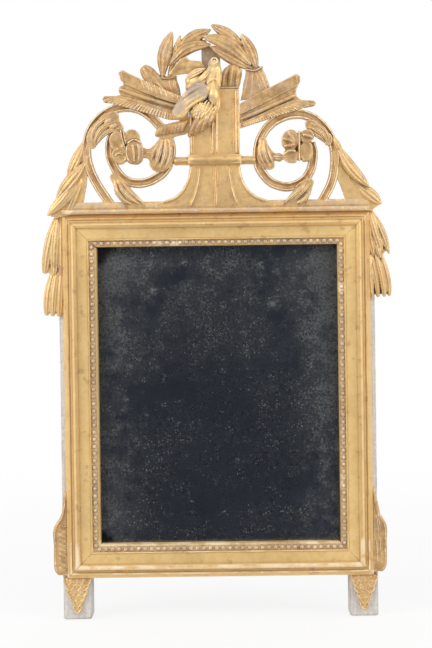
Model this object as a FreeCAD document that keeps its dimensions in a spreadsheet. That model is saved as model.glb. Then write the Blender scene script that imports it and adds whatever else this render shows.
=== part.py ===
"""A carved giltwood wall mirror: painted posts, gilt frame with pearls, carved crest, old plate.

Millimetres. Z is up, the face looks along -Y, and the face of the carcase is the plane y = 0.
The origin is on the ground under the middle of the mirror.
"""

import FreeCAD
import Part
import Sketcher
import math
import os

from FreeCAD import Rotation, Vector

doc = FreeCAD.newDocument("carved_wall_mirror")

# Driving dimensions: alias, millimetres, what it is.
SIZES = (
    ("frame_width", 410, "gilt frame over its outer edges"),
    ("frame_height", 486, "gilt frame over its outer edges"),
    ("frame_clearance", 58, "ground to the lower edge of the gilt frame"),
    ("crest_rise", 252, "top of the frame to the tip of the wreath"),
    ("stile_width", 39, "painted post, across"),
    ("stile_depth", 40, "painted post, front to back"),
    ("stile_reveal", 7, "painted post left showing outside the gilt frame"),
    ("foot_bevel", 3, "worn lower corners of the posts"),
    ("rail_height", 38, "top and bottom rails"),
    ("rail_depth", 20, "top and bottom rails, front to back"),
    ("tenon_length", 16, "rail tenon inside the post"),
    ("tenon_cheek", 5, "wood left in front of and behind a tenon"),
    ("tenon_shoulder", 6, "wood left above and below a tenon"),
    ("joint_clearance", 0.1, "room round a tenon, a slip and a nail"),
    ("moulding_width", 43.5, "gilt moulding, across"),
    ("moulding_depth", 22, "gilt moulding, front to back at its ridge"),
    ("pearl_seat_depth", 11, "floor of the pearl groove in front of the carcase"),
    ("pearl_slip_thickness", 1.6, "strip that the pearls are carved on"),
    ("pearl_radius", 3.15, "carved pearl"),
    ("pearl_neck", 0.9, "thread between two pearls, its radius"),
    ("pearl_pitch", 8.6, "pearl to pearl above and below the plate, before rounding to a whole count"),
    ("side_pearl_pitch", 9.6, "pearl to pearl beside the plate, before rounding to a whole count"),
    ("glass_thickness", 3, "old plate glass"),
    ("silver_thickness", 0.3, "tin layer and its backing paper"),
    ("glass_clearance", 0.8, "room round the plate in its rebate"),
    ("block_length", 40, "glazing block along the edge of the plate"),
    ("block_width", 11, "glazing block, across"),
    ("block_depth", 12, "glazing block, front to back"),
    ("board_thickness", 8, "pine backboard"),
    ("board_lap", 30, "backboard lying over a rail"),
    ("board_gap", 1, "gap between two backboards"),
    ("nail_shank", 1.1, "backboard nail, radius"),
    ("nail_head", 3, "backboard nail head, radius"),
    ("nail_head_height", 1.2, "backboard nail head"),
    ("nail_bite", 14, "nail inside the rail"),
    ("nail_edge", 13, "nail to the end of its board"),
    ("spine_width", 25, "batten behind the crest"),
    ("spine_depth", 12, "batten behind the crest, front to back"),
    ("spine_offset", 3.5, "batten set to the left of the middle"),
    ("spine_bite", 28, "batten let into the top rail"),
    ("crest_thickness", 14, "sawn board of the crest"),
    ("relief_step", 6, "each carved layer in front of the crest board"),
    ("arrow_thickness", 4, "arrow vane in front of the crest board"),
    ("arrow_shaft_width", 6, "arrow shaft, across"),
    ("base_height", 16, "base of the crest"),
    ("base_fillet", 7, "worn fillet along the foot of the crest base"),
    ("base_fillet_step", 4, "how far that fillet stands forward"),
    ("band_thickness", 5, "band round the quiver, in front of it"),
    ("dove_relief", 20, "dove in front of the quiver"),
    ("scroll_width", 11, "spiral stem, across"),
    ("scroll_bevel", 3, "rounding of the spiral stem's front edges"),
    ("flower_reach", 20, "flower, from its middle to the end of its rib"),
    ("flower_rib_width", 4.5, "rib between the flower's petals"),
    ("flower_plate", 3, "disc behind the flower's petals"),
    ("garland_relief", 10, "garland leaves in front of the crest board"),
    ("drop_width", 27.5, "leaf drop outside the gilt frame"),
    ("drop_length", 126, "leaf drop on the post"),
    ("drop_thickness", 12, "leaf drop in front of the post"),
    ("ear_width", 17.5, "lower bracket outside the gilt frame"),
    ("ear_height", 111, "lower bracket"),
    ("ear_lift", 62, "ground to the lower edge of the bracket"),
    ("ear_thickness", 13, "lower bracket in front of the post"),
    ("trim_clearance", 0.3, "room between an ornament and its neighbour"),
    ("foot_leaf_length", 47, "leaf pendant on the foot"),
    ("foot_leaf_width", 34, "leaf pendant on the foot"),
    ("foot_leaf_thickness", 8, "leaf pendant in front of the foot"),
    ("plate_width", 48, "iron hanger plate"),
    ("plate_height", 24, "iron hanger plate"),
    ("plate_thickness", 1.6, "iron hanger plate"),
    ("knuckle_radius", 3.7, "rolled knuckle of the hanger plate"),
    ("knuckle_length", 18, "rolled knuckle of the hanger plate"),
    ("knuckle_drop", 41, "top of the frame down to the axis of the knuckle"),
    ("ring_wire", 2, "wire of the hanging ring, radius"),
    ("ring_radius", 16, "round part of the hanging ring, at the middle of its wire"),
    ("ring_drop", 6, "straight leg of the hanging ring"),
    ("ring_corner", 4, "bend at the ends of the ring's bar"),
    ("ring_clearance", 0.05, "running room of the bar in the knuckle"),
    ("screw_shank", 1.6, "hanger screw, radius"),
    ("screw_head", 3.2, "hanger screw head, radius"),
    ("screw_head_height", 1.6, "hanger screw head"),
    ("screw_bite", 12, "hanger screw inside the rail"),
)

sheet = doc.addObject("Spreadsheet::Sheet", "sizes")
for row, (alias, millimetres, meaning) in enumerate(SIZES, start=1):
    sheet.set(f"A{row}", meaning)
    sheet.set(f"B{row}", str(millimetres))
    sheet.setAlias(f"B{row}", alias)
doc.recompute()

LEFT = -1
RIGHT = 1
SIDES = (("left", LEFT), ("right", RIGHT))

finished = []
mitred = []


def size(alias):
    """The value of one cell of the sheet."""
    return float(sheet.get(alias))


def finish(item, label):
    """Give a sub-part its label and keep it for export."""
    item.Label = label
    finished.append(item)
    return item


# Expressions that several sub-parts share.
HALF_FRAME = "sizes.frame_width / 2"
FRAME_TOP = "(sizes.frame_clearance + sizes.frame_height)"
STILE_OUTSIDE = "(sizes.frame_width / 2 + sizes.stile_reveal)"
STILE_INSIDE = "(sizes.frame_width / 2 + sizes.stile_reveal - sizes.stile_width)"
BOARD_BACK = "(sizes.rail_depth + sizes.board_thickness)"
KNUCKLE_DEPTH = f"({BOARD_BACK} + sizes.knuckle_radius + sizes.joint_clearance)"
KNUCKLE_HEIGHT = f"({FRAME_TOP} - sizes.knuckle_drop)"

half_frame = size("frame_width") / 2
frame_top = size("frame_clearance") + size("frame_height")
stile_outside = half_frame + size("stile_reveal")
stile_inside = stile_outside - size("stile_width")
rail_bottom_top = size("frame_clearance") + size("rail_height")
rail_top_bottom = frame_top - size("rail_height")
board_back = size("rail_depth") + size("board_thickness")
knuckle_depth = board_back + size("knuckle_radius") + size("joint_clearance")
knuckle_height = frame_top - size("knuckle_drop")
layer_board = size("crest_thickness")
layer_front = layer_board + size("relief_step")


def block(name, corner, spans):
    """A Part::Box whose corner and spans are expressions."""
    item = doc.addObject("Part::Box", name)
    for prop, text in zip(("Length", "Width", "Height"), spans):
        item.setExpression(prop, text)
    for axis, text in zip("xyz", corner):
        item.setExpression(f"Placement.Base.{axis}", text)
    return item


def rod(name, radius, length, base, direction):
    """A Part::Cylinder whose radius, length and base are expressions."""
    item = doc.addObject("Part::Cylinder", name)
    item.setExpression("Radius", radius)
    item.setExpression("Height", length)
    item.Placement.Rotation = Rotation(Vector(0, 0, 1), direction)
    for axis, text in zip("xyz", base):
        item.setExpression(f"Placement.Base.{axis}", text)
    return item


def cut(name, base, tool):
    item = doc.addObject("Part::Cut", name)
    item.Base = base
    item.Tool = tool
    return item


def fuse(name, pieces):
    item = doc.addObject("Part::MultiFuse", name)
    item.Shapes = pieces
    return item


def shaped(name, shape):
    """A Part::Feature for a carved form that no primitive gives."""
    item = doc.addObject("Part::Feature", name)
    item.Shape = shape
    item.Placement = FreeCAD.Placement()
    return item


def body_sketch(body, role, name, offset=None):
    """A sketch on one of a body's own origin planes, moved forward by an expression."""
    sketch = body.newObject("Sketcher::SketchObject", name)
    plane = [feature for feature in body.Origin.OriginFeatures if feature.Role == role][0]
    sketch.AttachmentSupport = [(plane, "")]
    sketch.MapMode = "FlatFace"
    if offset:
        sketch.setExpression("AttachmentOffset.Base.z", offset)
    return sketch


def bind_polygon(sketch, corners):
    """Draw a closed outline and bind each corner to a pair of expressions."""
    spots = [Vector(sheet_value(across), sheet_value(up), 0) for across, up in corners]
    first = sketch.GeometryCount
    count = len(spots)
    for index in range(count):
        sketch.addGeometry(Part.LineSegment(spots[index], spots[(index + 1) % count]), False)
    for index in range(count):
        following = first + (index + 1) % count
        sketch.addConstraint(Sketcher.Constraint("Coincident", first + index, 2, following, 1))
    for index, (spot, (across, up)) in enumerate(zip(spots, corners)):
        for kind, text, value in (("DistanceX", across, spot.x), ("DistanceY", up, spot.y)):
            number = sketch.addConstraint(Sketcher.Constraint(kind, -1, 1, first + index, 1, value))
            sketch.setExpression(f"Constraints[{number}]", text)


def sheet_value(text):
    """The number that an expression gives now."""
    return float(sheet.evalExpression(text))


def pad(body, sketch, length, reverse=False):
    feature = body.newObject("PartDesign::Pad", f"{body.Name}_pad")
    feature.Profile = sketch
    feature.setExpression("Length", length)
    feature.Reversed = reverse
    return feature


def plate(name, corners, back, thickness):
    """A sawn plate: an outline on the face plane, set forward by back and made thickness deep."""
    body = doc.addObject("PartDesign::Body", name)
    sketch = body_sketch(body, "XZ_Plane", f"{name}_outline", back)
    bind_polygon(sketch, corners)
    pad(body, sketch, thickness)
    return body


def crest_corners(shares):
    """Outline shares of the half frame and the crest's rise, as expressions."""
    return [
        (f"{HALF_FRAME} * {across}", f"{FRAME_TOP} + sizes.crest_rise * {up}")
        for across, up in shares
    ]


def crest_spot(share):
    """One place on the crest, as (across, up) in millimetres."""
    across, up = share
    return half_frame * across, frame_top + size("crest_rise") * up


# A carved leaf: half widths at stations from its root to its tip, and the height of its edge.
LEAF_STATION_SHARES = (0, 0.18, 0.45, 0.75, 1)
LEAF_WIDTH_SHARES = (0.35, 0.82, 1, 0.7, 0)
LEAF_EDGE_SHARE = 0.55


def leaf_solid(root, tip, half_width, back, front, bend=0):
    """A leaf with a raised midrib. back and front are distances forward of the carcase face."""
    along = Vector(tip[0] - root[0], 0, tip[1] - root[1])
    length = along.Length
    sideways = Vector(-along.z / length, 0, along.x / length)
    edge = back + (front - back) * LEAF_EDGE_SHARE
    rows = []
    for station, width in zip(LEAF_STATION_SHARES, LEAF_WIDTH_SHARES):
        middle = Vector(root[0], 0, root[1]) + along * station
        middle += sideways * (bend * length * math.sin(math.pi * station))
        reach = sideways * (half_width * width)
        rows.append((middle + reach, middle, middle - reach))

    def at(spot, forward):
        return Vector(spot.x, -forward, spot.z)

    outline = [row[0] for row in rows[:-1]] + [rows[-1][1]] + [row[2] for row in reversed(rows[:-1])]
    faces = [face_of([at(spot, back) for spot in outline])]
    count = len(outline)
    for index in range(count - 1):
        here = outline[index]
        there = outline[index + 1]
        faces.append(face_of([at(here, back), at(there, back), at(there, edge), at(here, edge)]))
    left, middle, right = rows[0]
    root_end = [at(left, back), at(left, edge), at(middle, front), at(right, edge), at(right, back)]
    faces.append(face_of(root_end))
    for here, there in zip(rows[:-1], rows[1:]):
        last = there is rows[-1]
        for flank in (0, 2):
            near = at(here[flank], edge)
            spine_near = at(here[1], front)
            if last:
                faces.append(face_of([near, at(there[1], edge), spine_near]))
                continue
            far = at(there[flank], edge)
            spine_far = at(there[1], front)
            faces.append(face_of([near, far, spine_near]))
            faces.append(face_of([far, spine_far, spine_near]))
    return outward(Part.makeSolid(Part.makeShell(faces)))


def face_of(spots):
    return Part.Face(Part.makePolygon(spots + spots[:1]))


def outward(solid):
    """The same solid with its faces turned outwards."""
    if solid.Volume < 0:
        solid.reverse()
    return solid


def prism(spots, back, front):
    """An outline of (across, up) spots made solid between two distances forward of the face."""
    corners = [Vector(across, -back, up) for across, up in spots]
    return face_of(corners).extrude(Vector(0, back - front, 0))


def ribbon(spots, width, back, front):
    """A strip of one width that follows a few spots."""
    left = []
    right = []
    for index, (across, up) in enumerate(spots):
        before = spots[max(index - 1, 0)]
        after = spots[min(index + 1, len(spots) - 1)]
        run = math.hypot(after[0] - before[0], after[1] - before[1])
        side = (-(after[1] - before[1]) / run * width / 2, (after[0] - before[0]) / run * width / 2)
        left.append((across + side[0], up + side[1]))
        right.append((across - side[0], up - side[1]))
    return prism(left + right[::-1], back, front)


def joined(solids):
    """One solid made of several that overlap."""
    return solids[0].multiFuse(solids[1:])


# Carcase: posts, rails and the batten behind the crest.

def mortise(name, side, lift):
    """The slot in a post for one rail tenon, with room all round."""
    start = STILE_INSIDE
    if side == LEFT:
        start = f"-{STILE_INSIDE} - sizes.tenon_length - sizes.joint_clearance"
    corner = (
        start,
        "sizes.tenon_cheek - sizes.joint_clearance",
        f"{lift} + sizes.tenon_shoulder - sizes.joint_clearance",
    )
    spans = (
        "sizes.tenon_length + sizes.joint_clearance",
        "sizes.rail_depth - 2 * (sizes.tenon_cheek - sizes.joint_clearance)",
        "sizes.rail_height - 2 * (sizes.tenon_shoulder - sizes.joint_clearance)",
    )
    return block(name, corner, spans)


LOWER_RAIL_LIFT = "sizes.frame_clearance"
UPPER_RAIL_LIFT = f"({FRAME_TOP} - sizes.rail_height)"


def make_stile(word, side):
    body = doc.addObject("PartDesign::Body", f"{word}_stile_post")
    sketch = body_sketch(body, "XZ_Plane", f"{word}_stile_outline")
    outside = f"{side} * {STILE_OUTSIDE}"
    inside = f"{side} * {STILE_INSIDE}"
    bevel = "sizes.foot_bevel"
    bind_polygon(sketch, [
        (f"{inside} + {side} * {bevel}", "0"),
        (f"{outside} - {side} * {bevel}", "0"),
        (outside, bevel),
        (outside, FRAME_TOP),
        (inside, FRAME_TOP),
        (inside, bevel),
    ])
    pad(body, sketch, "sizes.stile_depth", reverse=True)
    slots = fuse(f"{word}_mortises", [
        mortise(f"{word}_lower_mortise", side, LOWER_RAIL_LIFT),
        mortise(f"{word}_upper_mortise", side, UPPER_RAIL_LIFT),
    ])
    finish(cut(f"{word}_stile", body, slots), f"{word}_stile")


def rail_blank(name, lift):
    """A rail between the posts with a tenon at each end."""
    beam = block(
        f"{name}_beam",
        (f"-{STILE_INSIDE}", "0", lift),
        (f"2 * {STILE_INSIDE}", "sizes.rail_depth", "sizes.rail_height"),
    )
    tongue = block(
        f"{name}_tongue",
        (f"-{STILE_INSIDE} - sizes.tenon_length", "sizes.tenon_cheek", f"{lift} + sizes.tenon_shoulder"),
        (
            f"2 * ({STILE_INSIDE} + sizes.tenon_length)",
            "sizes.rail_depth - 2 * sizes.tenon_cheek",
            "sizes.rail_height - 2 * sizes.tenon_shoulder",
        ),
    )
    return fuse(f"{name}_blank", [beam, tongue])


BOARD_COUNT = 3
NAIL_SIDE_SHARE = 0.2
SCREW_SIDE_SHARE = 0.4
SCREW_UP_SHARE = 0.6


def backboard_spans():
    """The left edge and the width of each backboard."""
    gap = size("board_gap")
    start = -stile_inside + size("glass_clearance")
    width = (-2 * start - gap * (BOARD_COUNT - 1)) / BOARD_COUNT
    return [(start + index * (width + gap), width) for index in range(BOARD_COUNT)]


def nail_spots():
    """Where the nails go: two at each end of each backboard."""
    low = size("frame_clearance") + size("rail_height") - size("board_lap") + size("nail_edge")
    high = frame_top - size("rail_height") + size("board_lap") - size("nail_edge")
    spots = []
    for start, width in backboard_spans():
        for across in (start + width * NAIL_SIDE_SHARE, start + width * (1 - NAIL_SIDE_SHARE)):
            spots.extend(((across, low), (across, high)))
    return spots


def screw_spots():
    """Where the two screws of the hanger plate go."""
    up = knuckle_height + size("knuckle_radius") + size("plate_height") * SCREW_UP_SHARE
    across = size("plate_width") * SCREW_SIDE_SHARE
    return [(-across, up), (across, up)]


def pins(spots, radius, start, end):
    """Round pins along Y, from one depth to another."""
    length = end - start
    rearward = Vector(0, 1, 0)
    return [
        Part.makeCylinder(radius, length, Vector(across, start, up), rearward)
        for across, up in spots
    ]


def headed_pins(spots, radius, head_radius, head_height, start, seat):
    """Nails or screws: a shank up to its seat and a flat head behind it."""
    shanks = pins(spots, radius, start, seat)
    heads = pins(spots, head_radius, seat, seat + head_height)
    return Part.makeCompound([shank.fuse(head) for shank, head in zip(shanks, heads)])


def fastener_holes():
    """Every hole for nails and hanger screws, with room round the shank."""
    room = size("joint_clearance")
    nail_start = size("rail_depth") - size("nail_bite") - room
    screw_start = size("rail_depth") - size("screw_bite") - room
    screw_end = board_back + size("plate_thickness")
    nails = pins(nail_spots(), size("nail_shank") + room, nail_start, board_back)
    screws = pins(screw_spots(), size("screw_shank") + room, screw_start, screw_end)
    return shaped("fastener_holes", Part.makeCompound(nails + screws))


def make_rails(holes):
    finish(cut("bottom_rail", rail_blank("bottom_rail", LOWER_RAIL_LIFT), holes), "bottom_rail")
    housing = block(
        "spine_housing",
        (
            "-sizes.spine_offset - sizes.spine_width / 2 - sizes.joint_clearance",
            "0",
            f"{FRAME_TOP} - sizes.spine_bite - sizes.joint_clearance",
        ),
        (
            "sizes.spine_width + 2 * sizes.joint_clearance",
            "sizes.spine_depth + sizes.joint_clearance",
            "sizes.spine_bite + sizes.joint_clearance",
        ),
    )
    housed = cut("top_rail_housed", rail_blank("top_rail", UPPER_RAIL_LIFT), housing)
    finish(cut("top_rail", housed, holes), "top_rail")


SPINE_TOP_SHARE = 0.885


def make_spine():
    spine = block(
        "crest_spine",
        ("-sizes.spine_offset - sizes.spine_width / 2", "0", f"{FRAME_TOP} - sizes.spine_bite"),
        (
            "sizes.spine_width",
            "sizes.spine_depth",
            f"sizes.spine_bite + sizes.crest_rise * {SPINE_TOP_SHARE}",
        ),
    )
    finish(spine, "crest_spine")


# Gilt frame: profile as shares of the moulding's width, from its outer edge, and of its depth.
MOULDING_SHARES = (
    (0, 0), (0, 0.45), (0.1, 0.57), (0.1, 0.66), (0.15, 0.7), (0.19, 0.63), (0.245, 0.67),
    (0.26, 0.86), (0.3, 0.97), (0.345, 1), (0.4, 0.95), (0.435, 0.84), (0.44, 0.76),
    (0.77, 0.71), (0.77, 0.78), (0.81, 0.78),
)
PEARL_SEAT_SHARES = (0.81, 0.972)
PEARL_CORNER_SHARE = 1.5
LIP_FRONT_SHARE = 0.6


def moulding_profile():
    """Corners of the profile: depth in front of the carcase as -Y, distance in from the edge as -Z."""
    corners = [
        (f"-sizes.moulding_depth * {depth}", f"-sizes.moulding_width * {across}")
        for across, depth in MOULDING_SHARES
    ]
    for across in PEARL_SEAT_SHARES:
        corners.append(("-sizes.pearl_seat_depth", f"-sizes.moulding_width * {across}"))
    lip = f"-sizes.moulding_depth * {LIP_FRONT_SHARE}"
    corners.append((lip, f"-sizes.moulding_width * {PEARL_SEAT_SHARES[1]}"))
    corners.append((lip, "-sizes.moulding_width"))
    corners.append(("0", "-sizes.moulding_width"))
    return corners


def make_moulding(word, length, angle, place):
    """One mitred length, drawn as the top one and then turned into its place."""
    body = doc.addObject("PartDesign::Body", f"{word}_moulding")
    section = body_sketch(body, "YZ_Plane", f"{word}_section")
    bind_polygon(section, moulding_profile())
    bar = pad(body, section, length)
    bar.Midplane = True
    for end, side in SIDES:
        make_mitre(body, f"{word}_{end}", side, length)
    mitred.append((bar, body))
    body.Placement.Rotation = Rotation(Vector(0, 1, 0), angle)
    for axis, text in zip("xz", place):
        body.setExpression(f"Placement.Base.{axis}", text)
    finish(body, f"{word}_moulding")


def make_mitre(body, name, side, length):
    """Cut one end at 45 degrees."""
    sketch = body_sketch(body, "XZ_Plane", f"{name}_mitre")
    end = f"{side} * {length} / 2"
    bind_polygon(sketch, [
        (end, "0"),
        (f"{end} + {side} * sizes.moulding_width", "0"),
        (f"{end} + {side} * sizes.moulding_width", "-2 * sizes.moulding_width"),
        (f"{end} - {side} * 2 * sizes.moulding_width", "-2 * sizes.moulding_width"),
    ])
    pocket = body.newObject("PartDesign::Pocket", f"{name}_pocket")
    pocket.Profile = sketch
    pocket.Type = "ThroughAll"
    pocket.Midplane = True


def pearl_slip(outer_length, wished_pitch):
    """A mitred strip with a row of half pearls, drawn as the top one from its outer edge down."""
    room = size("joint_clearance")
    seat = size("moulding_width") * PEARL_SEAT_SHARES[0] + room
    width = size("moulding_width") * (PEARL_SEAT_SHARES[1] - PEARL_SEAT_SHARES[0]) - 2 * room
    floor = size("pearl_seat_depth")
    crown = floor + size("pearl_slip_thickness")
    outer = outer_length / 2 - seat - room
    inner = outer - width
    strip_low = -seat - width
    strip_spots = [(-outer, -seat), (outer, -seat), (inner, strip_low), (-inner, strip_low)]
    strip = prism(strip_spots, floor, crown)
    reach = outer - width / 2 - size("pearl_radius") * PEARL_CORNER_SHARE
    count = max(1, round(2 * reach / wished_pitch))
    pitch = 2 * reach / count
    radius = size("pearl_radius")
    neck = size("pearl_neck")
    half_chord = math.sqrt(radius ** 2 - neck ** 2)
    axis_up = -seat - width / 2

    def spot(across, up):
        return Vector(across, -crown, axis_up + up)

    edges = []
    for index in range(count + 1):
        middle = -reach + index * pitch
        start = spot(middle - half_chord, neck)
        end = spot(middle + half_chord, neck)
        edges.append(Part.Arc(start, spot(middle, radius), end).toShape())
        if index < count:
            edges.append(Part.makeLine(end, spot(middle + pitch - half_chord, neck)))
    first = spot(-reach - half_chord, 0)
    last = spot(reach + half_chord, 0)
    edges.append(Part.makeLine(spot(reach + half_chord, neck), last))
    edges.append(Part.makeLine(last, first))
    edges.append(Part.makeLine(first, spot(-reach - half_chord, neck)))
    row = Part.Face(Part.Wire(edges)).revolve(first, Vector(1, 0, 0), 180)
    return strip.fuse(row)


def make_pearls(word, slip, angle, place):
    item = shaped(f"{word}_pearls", slip)
    item.Placement = FreeCAD.Placement(Vector(place[0], 0, place[1]), Rotation(Vector(0, 1, 0), angle))
    finish(item, f"{word}_pearls")


FRAME_MIDDLE = "sizes.frame_clearance + sizes.frame_height / 2"
FRAME_LENGTHS = (
    ("top", "sizes.frame_width", 0, ("0", FRAME_TOP)),
    ("right", "sizes.frame_height", 90, (HALF_FRAME, FRAME_MIDDLE)),
    ("bottom", "sizes.frame_width", 180, ("0", "sizes.frame_clearance")),
    ("left", "sizes.frame_height", 270, (f"-{HALF_FRAME}", FRAME_MIDDLE)),
)


# Plate, silvering, blocks and boards.

def make_plate():
    sides = "sizes.glass_clearance"
    corner = (f"-{STILE_INSIDE} + {sides}", "0", f"{LOWER_RAIL_LIFT} + sizes.rail_height + {sides}")
    width = f"2 * ({STILE_INSIDE} - {sides})"
    height = f"sizes.frame_height - 2 * (sizes.rail_height + {sides})"
    finish(block("mirror_glass", corner, (width, "sizes.glass_thickness", height)), "mirror_glass")
    behind = (corner[0], "sizes.glass_thickness", corner[2])
    finish(block("silvering", behind, (width, "sizes.silver_thickness", height)), "silvering")


BLOCK_UP_SHARES = (0.15, 0.5, 0.85)
BLOCK_ACROSS_SHARES = (-0.55, 0.55)


def make_blocks():
    """Glued blocks behind the plate, three against each post and two against each rail."""
    start = size("glass_thickness") + size("silver_thickness")
    length = size("block_length")
    width = size("block_width")
    depth = size("block_depth")
    low = rail_bottom_top
    rise = rail_top_bottom - rail_bottom_top
    blocks = []
    for share in BLOCK_UP_SHARES:
        up = low + rise * share - length / 2
        for across in (-stile_inside, stile_inside - width):
            blocks.append(Part.makeBox(width, depth, length, Vector(across, start, up)))
    for share in BLOCK_ACROSS_SHARES:
        across = stile_inside * share - length / 2
        for up in (low, rail_top_bottom - width):
            blocks.append(Part.makeBox(length, depth, width, Vector(across, start, up)))
    finish(shaped("glazing_blocks", Part.makeCompound(blocks)), "glazing_blocks")


def make_backboards(holes):
    lift = f"{LOWER_RAIL_LIFT} + sizes.rail_height - sizes.board_lap"
    height = "sizes.frame_height - 2 * (sizes.rail_height - sizes.board_lap)"
    room = f"(2 * {STILE_INSIDE} - 2 * sizes.glass_clearance - {BOARD_COUNT - 1} * sizes.board_gap)"
    width = f"({room} / {BOARD_COUNT})"
    spans = (width, "sizes.board_thickness", height)
    for index, word in enumerate(("left", "middle", "right")):
        start = f"-{STILE_INSIDE} + sizes.glass_clearance + {index} * ({width} + sizes.board_gap)"
        board = block(f"{word}_board", (start, "sizes.rail_depth", lift), spans)
        finish(cut(f"{word}_backboard", board, holes), f"{word}_backboard")


def make_nails():
    start = size("rail_depth") - size("nail_bite")
    nails = headed_pins(
        nail_spots(), size("nail_shank"), size("nail_head"), size("nail_head_height"), start, board_back)
    finish(shaped("backboard_nails", nails), "backboard_nails")


# Crest. Shares across are of half the frame's width, from the middle.
# Shares up are of the crest's rise, from the top of the frame.
BASE_FILLET_FACE_SHARE = 0.7
QUIVER_HALF_SHARE = 0.162
QUIVER_FLARE_SHARES = (0.2, 0.222)
QUIVER_TOP_SHARE = 0.651
FLARE_STEPS = 6
QUIVER_SKIRT_SHARES = (0.39, 0.028)
MOUTH_SHARES = (
    (0.161, 0.653), (0.185, 0.734), (0.166, 0.754), (0.107, 0.782), (0.058, 0.746), (0, 0.738),
    (-0.058, 0.746), (-0.107, 0.782), (-0.166, 0.754), (-0.185, 0.734), (-0.151, 0.653),
)
BAND_UP_SHARES = (0.252, 0.306)
BAND_LINK_UP_SHARES = (0.252, 0.298)
BAND_LINK_REACH_SHARE = 0.262
BAND_FRONT_REACH_SHARE = 0.178


def make_base():
    body = doc.addObject("PartDesign::Body", "crest_base")
    sketch = body_sketch(body, "YZ_Plane", "crest_base_section")
    front = "-sizes.crest_thickness"
    step = "(-sizes.crest_thickness - sizes.base_fillet_step)"
    bind_polygon(sketch, [
        ("0", FRAME_TOP),
        (step, FRAME_TOP),
        (step, f"{FRAME_TOP} + sizes.base_fillet * {BASE_FILLET_FACE_SHARE}"),
        (front, f"{FRAME_TOP} + sizes.base_fillet"),
        (front, f"{FRAME_TOP} + sizes.base_height"),
        ("0", f"{FRAME_TOP} + sizes.base_height"),
    ])
    bar = pad(body, sketch, "sizes.frame_width")
    bar.Midplane = True
    finish(body, "crest_base")


def make_quiver():
    """A fluted shaft that flares into the base, with a skirt in front of the base."""
    base_top = frame_top + size("base_height")
    shoulder = half_frame * QUIVER_HALF_SHARE
    flare_reach = half_frame * QUIVER_FLARE_SHARES[0]
    flare_top = frame_top + size("crest_rise") * QUIVER_FLARE_SHARES[1]
    top = frame_top + size("crest_rise") * QUIVER_TOP_SHARE

    def flare(side):
        """A quarter ellipse from the side of the shaft down to the base."""
        spots = []
        for step in range(FLARE_STEPS + 1):
            turn = math.pi / 2 * step / FLARE_STEPS
            across = shoulder + flare_reach * (1 - math.cos(turn))
            up = base_top + (flare_top - base_top) * (1 - math.sin(turn))
            spots.append(Vector(side * across, 0, up))
        line = Part.BSplineCurve()
        line.interpolate(Points=spots, InitialTangent=Vector(0, 0, -1), FinalTangent=Vector(side, 0, 0))
        return line.toShape()

    def straight(start, end):
        return Part.makeLine(Vector(start[0], 0, start[1]), Vector(end[0], 0, end[1]))

    foot = shoulder + flare_reach
    outline = Part.Wire(Part.__sortEdges__([
        flare(RIGHT),
        straight((foot, base_top), (-foot, base_top)),
        flare(LEFT),
        straight((-shoulder, flare_top), (-shoulder, top)),
        straight((-shoulder, top), (shoulder, top)),
        straight((shoulder, top), (shoulder, flare_top)),
    ]))
    shaft = Part.Face(outline).extrude(Vector(0, -layer_front, 0))
    reach = half_frame * QUIVER_SKIRT_SHARES[0]
    low = frame_top + size("crest_rise") * QUIVER_SKIRT_SHARES[1]
    skirt_spots = [(-reach, low), (reach, low), (foot, base_top), (-foot, base_top)]
    skirt = prism(skirt_spots, layer_board, layer_front)
    finish(shaped("quiver", shaft.fuse(skirt)), "quiver")


def make_band():
    """A collar across the quiver with a short link to the scroll on each side."""
    low, high = (frame_top + size("crest_rise") * share for share in BAND_UP_SHARES)
    link_low, link_high = (frame_top + size("crest_rise") * share for share in BAND_LINK_UP_SHARES)
    flank = half_frame * QUIVER_HALF_SHARE + size("trim_clearance")
    reach = half_frame * BAND_FRONT_REACH_SHARE
    link = half_frame * BAND_LINK_REACH_SHARE
    front = layer_front + size("band_thickness")

    def strap(start, end, foot, head, back, face):
        return prism([(start, foot), (end, foot), (end, head), (start, head)], back, face)

    pieces = [strap(-reach, reach, low, high, layer_front, front)]
    for word, side in SIDES:
        pieces.append(strap(side * flank, side * reach, low, high, 0, front))
        pieces.append(strap(side * flank, side * link, link_low, link_high, layer_board, layer_front))
    finish(shaped("quiver_band", joined(pieces)), "quiver_band")


def make_mouth():
    mouth = plate("quiver_mouth", crest_corners(MOUTH_SHARES), "0", "sizes.crest_thickness")
    finish(mouth, "quiver_mouth")


# Dove: round parts as (across, up) shares with radius shares of the crest's rise, cut flat at the back.
# Forward shares are of the dove's relief.
DOVE_HEAD_SHARE = (0.002, 0.778)
DOVE_HEAD_RADIUS_SHARE = 0.036
DOVE_HEAD_FORWARD_SHARE = 0.5
DOVE_THROAT_SHARE = 0.85
DOVE_NECK_SHARE = (-0.01, 0.676)
DOVE_NECK_RADIUS_SHARE = 0.05
DOVE_NECK_FORWARD_SHARE = 0.25
DOVE_BREAST_SHARE = (-0.075, 0.672)
DOVE_BREAST_RADIUS_SHARES = (0.075, 0.055)
DOVE_BELLY_SHARE = (-0.07, 0.545)
DOVE_BELLY_RADIUS_SHARES = (0.062, 0.056)
DOVE_BELLY_FORWARD_SHARE = 0.7
DOVE_WING_SHARES = ((0.005, 0.674), (-0.25, 0.522))
DOVE_WING_HALF_SHARE = 0.048
DOVE_WING_FRONT_SHARE = 0.65
RAISED_WING_SHARES = (
    (-0.056, 0.758), (-0.08, 0.798), (-0.166, 0.795), (-0.178, 0.82), (-0.23, 0.785), (-0.29, 0.728),
    (-0.283, 0.718), (-0.195, 0.734), (-0.146, 0.73), (-0.07, 0.726),
)
SIDE_FEATHER_SHARES = (
    (-0.166, 0.468), (-0.23, 0.474), (-0.3, 0.456), (-0.362, 0.458), (-0.352, 0.405), (-0.275, 0.397),
    (-0.166, 0.42),
)
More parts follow.
